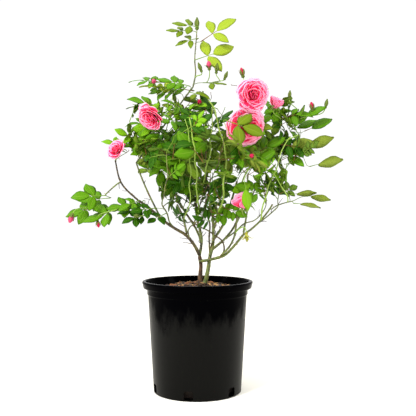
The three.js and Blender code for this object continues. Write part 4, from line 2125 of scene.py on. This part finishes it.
@dataclass
class Canes:
    """Stems, boughs, shoots and flower stalks, with bark relief, and the prickles on them.

    Attributes:
        old: Nodes of the old brown wood.
        green: Nodes of the green boughs.
        skin_step: Distance between rings.
        sides: Number of sides of a bough.
        slim: Share of the packed thickness that the bark has between its swellings.
    """

    old: tuple[str, ...]
    green: tuple[str, ...]
    skin_step: float = 3 * MM
    sides: int = 14
    slim: float = 0.82

    def __post_init__(self) -> None:
        """Read every middle line and join each foot to the wood that it grows from."""
        self.limbs: dict[str, Limb] = {}
        for name in self.old + self.green:
            self.limbs[name] = Limb.from_node(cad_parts[name])
        for name, limb in self.limbs.items():
            limb.path[0:0], limb.radii[0:0] = self.root_of(name, limb)

    def root_of(self, name: str, limb: Limb) -> tuple[list[Vector], list[float]]:
        """Points that carry a limb's foot into its parent, or into the potting mix.

        Args:
            name: Name of the limb.
            limb: The limb.

        Returns:
            Points before its first, and their radii.
        """
        foot = limb.path[0]
        if name.startswith("stem"):
            return [Vector((foot.x, foot.y, foot.z - 12 * MM))], [limb.radii[0] * 1.15]
        others = [p for other, o in self.limbs.items() if other != name for p in o.path[1:]]
        nearest = min(others, key=lambda p: (p - foot).length)
        count = max(1, round((nearest - foot).length / (8 * MM)))
        run = [nearest.lerp(foot, i / count) for i in range(count)]
        return run, [limb.radii[0]] * count

    def basal_shoots(self, crown: Crown, count: int = 11) -> list[Limb]:
        """Thin canes that fork off the stems and the feet of the boughs, and rise into the foliage.

        Args:
            crown: Foliage that they rise into.
            count: Number of them.

        Returns:
            The canes, thick end first.
        """
        random = np.random.default_rng(31)
        into = ("under_front", "left_inner", "right_low", "front")
        into += ("back_low", "heart", "front_left", "right_middle")
        low = [
            (limb.path[k], (limb.path[k + 1] - limb.path[k]).normalized())
            for limb in self.limbs.values()
            for k in range(1, len(limb.path) - 1)
            if FORK_ZONE[0] < limb.path[k].z < FORK_ZONE[1]
        ]
        made = []
        for i in range(count):
            foot, along = low[int(random.integers(len(low)))]
            tip = crown.sample(mass(into[i % len(into)]), 1, 60 * MM)[0]
            path = bezier(foot, foot + along * 50 * MM, tip - UP * 50 * MM, tip, 40)
            wide = random.uniform(1.4, 2.4) * MM
            for k in range(1, len(path)):
                path[k] = path[k] + noise.noise_vector(path[k] * 25) * 12 * MM * math.sin(math.pi * k / 40)
            made.append(Limb.tapering(path, wide, 0.9 * MM))
        return made

    def wands(self) -> list[Limb]:
        """Long pale shoots that rise from the boughs through the front of the foliage.

        Returns:
            The shoots, thick end first.
        """
        random = np.random.default_rng(53)
        low, high = WAND_ZONE
        wood = [p for limb in self.limbs.values() for p in limb.path if low < p.z < high]
        made = []
        for name in (*["heart"] * 3, *["front"] * 2, *["right_middle"] * 2, "right_low"):
            inside = spot(mass(name), random.uniform(0.15, 0.85), 0.5, random.uniform(0.5, 0.9))
            tip = edge_of(mass(name), (0, -1, 0.1), inside)
            near = sorted(wood, key=lambda p: abs(p.x - tip.x) + abs(p.y - tip.y) * 0.5)
            foot = near[int(random.integers(len(near) // 4))]
            bow = Vector((random.normal(0, 0.14), -0.1, 0)) * (tip - foot).length
            path = bezier(foot, foot.lerp(tip, 0.35) + bow, foot.lerp(tip, 0.75) + bow * 0.6, tip, 24)
            path[1:] = [p + noise.noise_vector(p * 30) * 5 * MM for p in path[1:]]
            thick = random.uniform(1.4, 2.3) * MM
            made.append(Limb.tapering(path, thick, 0.6 * thick))
        return made

    def spurs(self, limbs: Iterable[Limb], count: int = 90) -> list[Limb]:
        """Short dead twigs and snags that stand off the lower wood.

        Args:
            limbs: Wood that they stand on.
            count: Number of them.

        Returns:
            The twigs, thick end first.
        """
        random = np.random.default_rng(47)
        steps = [step for limb in limbs for step in zip(limb.path, limb.path[1:], limb.radii)]
        seats = [step for step in steps if SPUR_ZONE[0] < step[0].z < SPUR_ZONE[1]]
        made = []
        for _ in range(count):
            foot, after, thick = seats[int(random.integers(len(seats)))]
            along = (after - foot).normalized()
            aside = Quaternion(along, random.uniform(0, 2 * math.pi)) @ along.orthogonal().normalized()
            way = (along * random.uniform(0.2, 1.1) + aside + UP * 0.3).normalized()
            long = random.uniform(5, 22) * MM
            path = []
            for t in np.linspace(0, 1, 6):
                path.append(foot + way * long * t + Vector(random.normal(0, 0.6 * MM, 3)) * t)
            wide = min(0.6 * thick, random.uniform(0.6, 1.1) * MM)
            made.append(Limb.tapering(path, wide, 0.5 * wide))
        return made

    def resampled(self, limb: Limb) -> Limb:
        """A limb with a ring every few millimetres, swollen where leaves once grew.

        Args:
            limb: The limb.

        Returns:
            The finer limb.
        """
        lengths = [0.0]
        for a, b in zip(limb.path, limb.path[1:]):
            lengths.append(lengths[-1] + (b - a).length)
        count = max(3, round(lengths[-1] / self.skin_step))
        places = np.linspace(0, lengths[-1], count)
        columns = [np.interp(places, lengths, [p[k] for p in limb.path]) for k in range(3)]
        radii = np.interp(places, lengths, limb.radii)
        start = (noise.noise(limb.path[0] * 50) + 1) * KNOT_GAP / 2
        for i, place in enumerate(places):
            past = (place + start) % KNOT_GAP
            near = min(past, KNOT_GAP - past) / KNOT_WIDTH
            radii[i] *= 1 + KNOT_SWELL * math.exp(-near * near)
        return Limb([Vector(p) for p in zip(*columns)], [float(r) * self.slim for r in radii])

    def pieces(self, basal: list[Limb], shoots: list[Limb], wands: list[Limb], stalks: list[Limb]) -> None:
        """Build the old wood, the green boughs, the leafy shoots, the flower stalks and the prickles.

        Args:
            basal: Thin canes between the boughs.
            shoots: Leafy shoots.
            wands: Long pale shoots in front.
            stalks: Stalks of blooms and buds.
        """
        # Old rose wood is grey-brown and cracked; younger canes are green, flushed brown on the sunny side.
        old_bark = Bark("old_rose_bark", ("#1c120a", "#4c341d", "#7d5d38"), 1.6, 0.7, 0.8)
        green_bark = Bark("green_cane_bark", ("#23240c", "#47521c", "#66742c", "#4a3a1c"), 2.6, 0.25, 0.5)
        low_bark = Bark("ripening_cane_bark", ("#1e150b", "#3f3317", "#575322"), 2.2, 0.4, 0.6)
        old = Draft()
        for name in self.old:
            self.clad(old, self.limbs[name], self.sides + 6, seed=3, rough=0.12)
        made = show("old_canes", old.mesh("old_canes"), [old_bark.material()])
        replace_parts(made, *self.old)
        ripening = ("bough_left_low", "bough_left_rise")
        green = Draft()
        for i, name in enumerate(self.green):
            self.clad(green, self.limbs[name], self.sides, int(name in ripening), i * 7.0, 0.06)
        for i, cane in enumerate(basal):
            self.clad(green, cane, self.sides - 4, i % 2, i * 9.0, 0.06)
        barks = [green_bark.material(), low_bark.material()]
        canes = show("green_canes", green.mesh("green_canes"), barks)
        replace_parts(canes, *self.green)
        prickle_ground = canes.data.copy()
        # Growth of the year is smooth and green, and flushed red where the sun has caught it.
        year_skins = [
            LivingSkin("green_shoot", "#5c7224", 0.48, 1.2, 0.1).material(),
            LivingSkin("flushed_shoot", "#5f4424", 0.48, 1.2, 0.1).material(),
            LivingSkin("pale_wand", "#8eaa4c", 0.45, 0.8, 0.08).material(),
            LivingSkin("dead_twig", "#33231a", 0.7, 0.8, 0.15).material(),
        ]
        twigs = Draft()
        for i, shoot in enumerate(shoots):
            self.clad(twigs, shoot, 8, int(i % 9 == 0), i * 3.0)
        for wand in wands:
            self.clad(twigs, wand, 10, 2, 2.0)
        for spur in self.spurs([*self.limbs.values(), *basal]):
            sweep(twigs, spur.path, spur.radii, 6, 3)
        show("twigs", twigs.mesh("twigs"), year_skins)
        held = Draft()
        for i, stalk in enumerate(stalks):
            self.clad(held, stalk, 8, 0, i * 5.0, 0.04)
        stalk_skin = LivingSkin("flower_stalk", "#82a048", 0.5, 0.6, 0.08).material()
        show("flower_stalks", held.mesh("flower_stalks"), [stalk_skin])
        self.prickles(prickle_ground)

    def clad(
        self, draft: Draft, limb: Limb, sides: int, slot: int = 0, seed: float = 0.0, rough: float = 0.05
    ) -> None:
        """Add a limb with its swellings and the relief of its bark.

        Args:
            draft: Mesh in the making.
            limb: The limb.
            sides: Number of sides.
            slot: Material slot.
            seed: Shifts the pattern of the relief.
            rough: Height of the relief as a share of the radius.
        """
        grains = ((260, 60), (700, 240))  # waves to a metre, across and along, of the ridges and the cracks

        def relief(point: Vector) -> float:
            """Rise of the bark at a point: long ridges under fine cracks."""
            ridges, cracks = (Vector((point.x * a, point.y * a, point.z * b + seed)) for a, b in grains)
            return rough * (noise.noise(ridges) + 0.5 * noise.noise(cracks))

        finer = self.resampled(limb)
        sweep(draft, finer.path, finer.radii, sides, slot, relief)

    def prickles(self, ground: Mesh) -> None:
        """Strew prickles over the green canes: flat-based, tapering and hooked.

        Args:
            ground: Surface of the canes.
        """
        templates = []
        for i, hook in enumerate((0.35, 0.6)):
            draft = Draft()
            path = [Vector((hook * t * t, 0, t - 0.1)) for t in (0.0, 0.35, 0.7, 1.0)]
            sweep(draft, path, [0.24, 0.14, 0.07, 0.015], 6)
            templates.append(draft.mesh(f"prickle_{i}"))
        # Prickles on green canes are corky and straw to reddish brown.
        skin = LivingSkin("prickle", "#9a7a4c", 0.5, 0.6, 0.05).material()
        settings = {"Apart": 4.5 * MM, "Density": 30000.0, "Smallest": 1.4 * MM, "Largest": 3.6 * MM}
        settings |= {"Lean": 0.3, "Seed": 5, "Templates": gather("prickle", templates)}
        mesh = run_tree("prickles", ground, strewn_tree("strew_prickles", skin), **settings)
        show("prickles", mesh)


# ---- pot and mix


# Steps of the shoulder band in mm, out from the rim's edge and up from the top of the tapering wall.
BAND = ((-10.4, -0.4), (-10, 0.4), (-9.9, 1.4), (-9.8, 9.6), (-9.2, 10.8))
BAND += ((-6.5, 11.6), (-3.4, 11.9), (-2.6, 12.5), (-2.2, 13.6))
# The rolled lip in mm, out from the rim's edge and up from its top.
LIP = ((-0.6, -5.5), (-0.1, -4), (0, -2.8), (-0.3, -1.4), (-1.1, -0.4), (-2.2, 0), (-5.8, 0), (-6.9, -0.5))
LIP += ((-7.4, -1.6), (-7.8, -5), (-9.4, -11), (-10.4, -13.5))


@dataclass
class NurseryPot:
    """Round, thin-walled grower's pot with a shoulder band, a rolled rim and slots round its foot."""

    sides: int = 144
    slots: int = 6
    slot_turn: float = -10.5  # of the first slot from the front, in degrees
    foot_mm: float = 87.5

    def profile(self) -> list[tuple[float, float]]:
        """Outline of the wall in mm.

        Returns:
            Radius and height, from the underside out, over the rim and in to the floor.
        """
        low, top = packed_box("pot")
        high = (top.z - low.z) / MM
        rim = (top.x - low.x) / MM / 2
        step = high - 26

        def wall(z: float) -> float:
            """Radius of the tapering wall at a height."""
            return rim * (0.788 + 0.122 * z / high)

        outline = [(0, 0), (wall(0) - 3.5, 0), (wall(0) - 1.2, 0.3), (wall(0) - 0.2, 1.5), (wall(2.5), 2.6)]
        outline += [(wall(z), z) for z in (20, 60, 100, 140, 175, high - 28.5)]
        outline += [(wall(step) + 0.2, step - 1.2)]
        outline += [(rim + out, step + up) for out, up in BAND]
        outline += [(rim + out, high + up) for out, up in LIP]
        outline += [(wall(z) - 2, z) for z in (high - 26, 140, 60, 8)]
        return outline + [(wall(3) - 2.6, 4), (wall(3) - 4.5, 2.6), (0, 2.5)]

    def cutters(self) -> bpy.types.Object:
        """Build the slots and the low notches between the feet as one cutting mesh.

        Returns:
            The cutter.
        """
        notch, slot = (10 * MM, 18 * MM, 2.8 * MM), (12 * MM, 18 * MM, 17.4 * MM)
        slot_height = 2.6 * MM + slot[2] / 2
        work = bmesh.new()
        for i in range(self.slots * 2):
            turn = Matrix.Rotation(math.radians(self.slot_turn - 90 + i * 180 / self.slots), 4, "Z")
            inwards = turn @ Vector((1, 0, 0))
            for size, height in ((notch, 0.0), (slot, slot_height))[: 2 - i % 2]:
                place = turn @ Matrix.Translation((self.foot_mm * MM, 0, height))
                made = bmesh.ops.create_cube(work, size=1, matrix=place @ Matrix.Diagonal((*size, 1)))
                if not height:
                    continue
                edges = dict.fromkeys(edge for corner in made["verts"] for edge in corner.link_edges)
                ways = {e: (e.verts[0].co - e.verts[1].co).normalized() for e in edges}
                across_wall = [e for e in edges if abs(ways[e].dot(inwards)) > 0.9]
                bevel = {"offset": 4 * MM, "segments": 5, "affect": "EDGES", "profile": 0.5}
                bmesh.ops.bevel(work, geom=across_wall, **bevel)
        mesh = bpy.data.meshes.new("slot_cutters")
        work.to_mesh(mesh)
        work.free()
        return put("slot_cutters", mesh)

    def pieces(self) -> None:
        """Build the pot."""
        draft = Draft()
        revolve(draft, [(r * MM, z * MM) for r, z in self.profile()], self.sides)
        wall = put("pot_maker", draft.mesh("pot_blank", weld=1e-6, outwards=True))
        cutter = self.cutters()
        cut = wall.modifiers.new("slots", "BOOLEAN")
        cut.operation = "DIFFERENCE"
        cut.solver = "EXACT"
        cut.object = cutter
        graph = bpy.context.evaluated_depsgraph_get()
        mesh = bpy.data.meshes.new_from_object(wall.evaluated_get(graph), depsgraph=graph)
        bpy.data.objects.remove(wall)
        bpy.data.objects.remove(cutter)
        mesh.materials.clear()
        mesh.shade_smooth()
        mesh.set_sharp_from_angle(angle=math.radians(38))
        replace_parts(show("nursery_pot", mesh, [BlackPolythene().material()]), "pot")


@dataclass
class PottingMix:
    """Bark-based potting mix: a mounded body with a lumpy top, and chips and crumbs of bark on it."""

    seed: int = 11
    rings: int = 40
    sides: int = 120

    def height(self, x: float, y: float) -> float:
        """Height of the top at a place, in the row frame.

        Args:
            x: The place, to the right.
            y: The place, away from the viewer.

        Returns:
            The height.
        """
        high = packed_box("potting_mix")[1]
        reach = high[0] * 0.97
        share = min(1.0, math.hypot(x, y) / reach)
        mound = high[2] + 6.5 * MM - 17 * MM * share**1.5
        broad = noise.noise(Vector((x * 45, y * 45, 3.0))) * 3.2
        fine = noise.noise(Vector((x * 130, y * 130, 9.0))) * 1.8
        return mound - 1.5 * MM + (broad + fine) * MM

    def ground(self) -> Mesh:
        """Build the lumpy top alone, as the ground for the chips.

        Returns:
            The top.
        """
        draft = Draft()
        reach = packed_box("potting_mix")[1][0] * 0.985
        radii = [reach * (i + 1) / self.rings for i in range(self.rings)]
        flat = [point for radius in radii for point in ring(radius, 0.0, self.sides)]
        faces = [(0, 1 + k, 1 + (k + 1) % self.sides) for k in range(self.sides)]
        faces += [(a, d, c, b) for a, b, c, d in band_faces(self.rings, self.sides, 1)]
        draft.add([(x, y, self.height(x, y)) for x, y, _ in [(0.0, 0.0, 0.0), *flat]], faces)
        return draft.mesh("mix_ground")

    def body(self) -> Mesh:
        """Build the whole body: the lumpy top with a skirt and an underside.

        Returns:
            The body, closed.
        """
        draft = Draft()
        top = self.ground()
        outer = 1 + (self.rings - 1) * self.sides
        first = outer + self.sides
        low = packed_box("potting_mix")[0][2] + 1 * MM
        foot = 0.8
        points = [v.co for v in top.vertices]
        faces = [tuple(p.vertices) for p in top.polygons]
        for k in range(self.sides):
            after = (k + 1) % self.sides
            faces.append((outer + after, outer + k, first + k, first + after))
            faces.append((first + after, first + k, first + self.sides))
        points += [(x * foot, y * foot, low) for x, y, _ in points[outer:]] + [(0.0, 0.0, low)]
        draft.add(points, faces)
        return draft.mesh("potting_mix_body", outwards=True)

    def chip(self, name: str, random: np.random.Generator, proportions: Sequence[float]) -> Mesh:
        """One torn chip: the hull of a few scattered points.

        Args:
            name: Name of the mesh.
            random: Source of its corners.
            proportions: Size along X, Y and Z.

        Returns:
            The template, one unit long, lying flat.
        """
        work = bmesh.new()
        for _ in range(15):
            point = random.normal(0, 1, 3)
            point = point / np.linalg.norm(point) * 0.5 * random.uniform(0.75, 1.0)
            work.verts.new([c * size for c, size in zip(point, proportions)])
        hull = bmesh.ops.convex_hull(work, input=work.verts)
        bmesh.ops.delete(work, geom=[g for g in hull["geom_interior"] if isinstance(g, bmesh.types.BMVert)])
        bmesh.ops.recalc_face_normals(work, faces=work.faces)
        mesh = bpy.data.meshes.new(name)
        work.to_mesh(mesh)
        work.free()
        return mesh

    def pieces(self) -> None:
        """Build the body, the chips and the crumbs."""
        # Fresh conifer bark is orange-brown where it is torn, and darkens to umber as it weathers.
        barks = [
            MilledBark("orange_bark_chip", "#4a2712", "#9a5c2c").material(),
            MilledBark("tan_bark_chip", "#7a5429", "#c79a5e").material(),
            MilledBark("umber_bark_chip", "#140b06", "#3c2414").material(),
            MilledBark("grey_bark_chip", "#352718", "#7a6446").material(),
            MilledBark("peat", "#0a0604", "#2a1b10", 2.4).material(),
        ]
        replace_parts(show("potting_mix_body", self.body(), [barks[4]]), "potting_mix")
        random = np.random.default_rng(self.seed)
        shapes = ((1, 0.5, 0.24), (1, 0.36, 0.2), (1, 0.62, 0.3), (1, 0.28, 0.22))
        # Distance apart and density, then the smallest and largest chip, and how far it leans.
        sorts = {
            "bark_chips": (6 * MM, 60000.0, 8 * MM, 17 * MM, 0.6),
            "bark_crumbs": (2.4 * MM, 200000.0, 2.4 * MM, 5.5 * MM, 0.9),
        }
        for name, sizes in sorts.items():
            templates = []
            for i in range(9):
                chip = self.chip(f"{name}_{i}", random, shapes[i % 4])
                chip.materials.append(barks[(0, 1, 2, 2, 1, 3, 0, 2, 2)[i]])
                templates.append(chip)
            settings = dict(zip(("Apart", "Density", "Smallest", "Largest", "Lean"), sizes))
            settings |= {"Templates": gather(name, templates), "Seed": self.seed}
            show(name, run_tree(name, self.ground(), strewn_tree(f"strew_{name}"), **settings))


# ---- studio


@dataclass(frozen=True)
class WhitePaper(Finish):
    """Matt white paper, so that the floor runs into the background."""

    name: str = "white_paper"

    def inputs(self, tree: NodeTree) -> dict[str, object]:
        """A plain, dull white."""
        return {"Base Color": linear("#fbf8ee"), "Roughness": 1.0, "Specular IOR Level": 0.0}


@dataclass
class Studio:
    """White cove, soft lights and the camera."""

    eye: Triple = (0.021, -1.409, 0.365)
    lens: float = 60.92

    def floor(self) -> None:
        """Build the pale floor."""
        mesh = bpy.data.meshes.new("floor")
        reach = 6.0
        corners = [(-reach, -reach, 0), (reach, -reach, 0), (reach, reach, 0), (-reach, reach, 0)]
        mesh.from_pydata(corners, [], [(0, 1, 2, 3)])
        mesh.materials.append(WhitePaper().material())
        put("floor", mesh)

    def light(self, name: str, at: Triple, aim: Triple, size: tuple[float, float], watts: float) -> None:
        """Add one rectangular soft light.

        Args:
            name: Name of the light.
            at: Where it stands.
            aim: What it points at.
            size: Width and height.
            watts: Its power.
        """
        lamp = bpy.data.lights.new(name, "AREA")
        lamp.shape = "RECTANGLE"
        lamp.size, lamp.size_y = size
        lamp.energy = watts
        held = put(name, lamp)
        held.location = at
        held.rotation_euler = (Vector(aim) - Vector(at)).to_track_quat("-Z", "Y").to_euler()

    @staticmethod
    def room() -> bpy.types.World:
        """Build the white room, a little dimmer on the side that the plant faces.

        Returns:
            The world.
        """
        world = bpy.data.worlds.new("white_room")
        world.use_nodes = True
        tree = world.node_tree
        place = add_node(tree, "ShaderNodeTexCoord").outputs["Generated"]
        apart = add_node(tree, "ShaderNodeSeparateXYZ", {"Vector": place}).outputs
        ahead = {"Value": apart["Y"], "From Min": -0.9, "From Max": -0.1, "To Min": 0.92, "To Max": 1.05}
        level = add_node(tree, "ShaderNodeMapRange", ahead)
        above = {"Value": apart["Z"], "From Min": 0.35, "From Max": 0.8, "To Max": 0.6}
        overhead = add_node(tree, "ShaderNodeMapRange", above)
        light = add_node(tree, "ShaderNodeMath", {0: level, 1: overhead}, operation="ADD")
        feed(tree.nodes["Background"], {"Strength": light, "Color": (1.0, 1.0, 1.0, 1.0)})
        return world

    def set_up(self) -> None:
        """Place the floor, the world, the lights and the camera."""
        self.floor()
        scene = bpy.context.scene
        scene.view_settings.view_transform = "Standard"
        scene.world = self.room()
        self.light("key", (-1.2, -1.5, 2.0), (0, 0, 0.5), (0.7, 0.7), 66)
        self.light("left_bank", (-1.7, -0.7, 0.5), (0, 0, 0.15), (0.3, 1.3), 7)
        self.light("right_bank", (1.7, -0.7, 0.7), (0, 0, 0.3), (0.4, 1.4), 12)
        lens = bpy.data.cameras.new("camera")
        lens.lens = self.lens
        lens.sensor_width = 36.0
        lens.clip_start = 0.05
        camera = put("camera", lens)
        camera.location = self.eye
        camera.rotation_euler = (math.radians(90), 0.0, 0.0)
        scene.camera = camera


# ---- the plant


# Thin masses that hold only outer leaves.
PLACED = ("top_right", "top_left", "left_arm", "left_arm_tip", "left_spray", "left_tip", "right_upper_tip")
PLACED += ("right_far", "right_arm", "low_bloom")
REGIONS = {
    "leaves_left": ["left_arm", "left_arm_tip", "left_middle", "left_shoulder", "left_spray", "left_tip"],
    "leaves_top": ["left_top", "top_left", "top_right", "buds", "back_top"],
    "leaves_middle": ["heart", "left_inner", "blooms", "back_low"],
    "leaves_front": ["front", "front_left", "front_right", "under_front", "low_bloom"],
    "leaves_right": ["right_arm", "right_far", "right_low", "right_middle", "right_shoulder"]
    + ["right_upper_tip"],
    "leaves_back": ["back", "back_left", "back_right"],
}


def main() -> None:
    """Build every sub-assembly in order, then check the size and finish."""
    logging.basicConfig(level=logging.INFO, format="%(relativeCreated)6d ms %(message)s")
    # Vector noise is seeded by the clock unless it is given a seed.
    noise.seed_set(NOISE_SEED)
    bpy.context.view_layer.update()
    regions = {name: [mass(node) for node in nodes] for name, nodes in REGIONS.items()}
    masses = [node for nodes in regions.values() for node in nodes]
    boughs = tuple(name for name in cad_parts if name.startswith("bough"))
    NurseryPot().pieces()
    PottingMix().pieces()
    canes = Canes(("stem_brown",), ("stem_green", *boughs, "lead_shoot"))
    crown = Crown(masses, placed=frozenset(mass(name) for name in PLACED))
    flowers = Flowers(BLOOMS, TRUSSES, canes.limbs["lead_shoot"])
    leafy = crown.targets()
    limbs = list(canes.limbs.values())
    outer = [leaf for name, habit in HABITS.items() for leaf in OuterLeaf.of_mass(mass(name), habit, limbs)]
    own_leaves = [leaf.target() for leaf in outer]
    veils = [veil.leaf() for veil in VEILS]
    basal = canes.basal_shoots(crown)
    wands = canes.wands()
    veil_twigs = [veil.target() for veil in veils]
    grown = crown.grow(limbs + basal, leafy + own_leaves + flowers.targets() + veil_twigs)
    first_stalk = len(leafy) + len(own_leaves)
    shoots, stalks = grown[: len(leafy)], grown[first_stalk : -len(veils)]
    log.info("%d shoots, %d flower stalks", len(shoots), len(stalks))
    canes.pieces(basal, grown[:first_stalk], wands, grown[first_stalk:])
    flowers.pieces()
    lines = [(point, 9 * MM) for wand in wands for point in wand.path[4::2]]
    lines += [(point, 3 * MM) for stalk in stalks for point in stalk.path[-9::2]]
    foliage = Foliage(crown, clear=flowers.keep_clear() + lines)
    foliage.hang_outer(outer)
    foliage.clothe(shoots + basal, crown.owners + [SKIRT] * len(basal))
    foliage.hang_outer(veils, veils=True)
    foliage.pieces(regions)
    Studio().set_up()


if __name__ == "__main__":
    main()
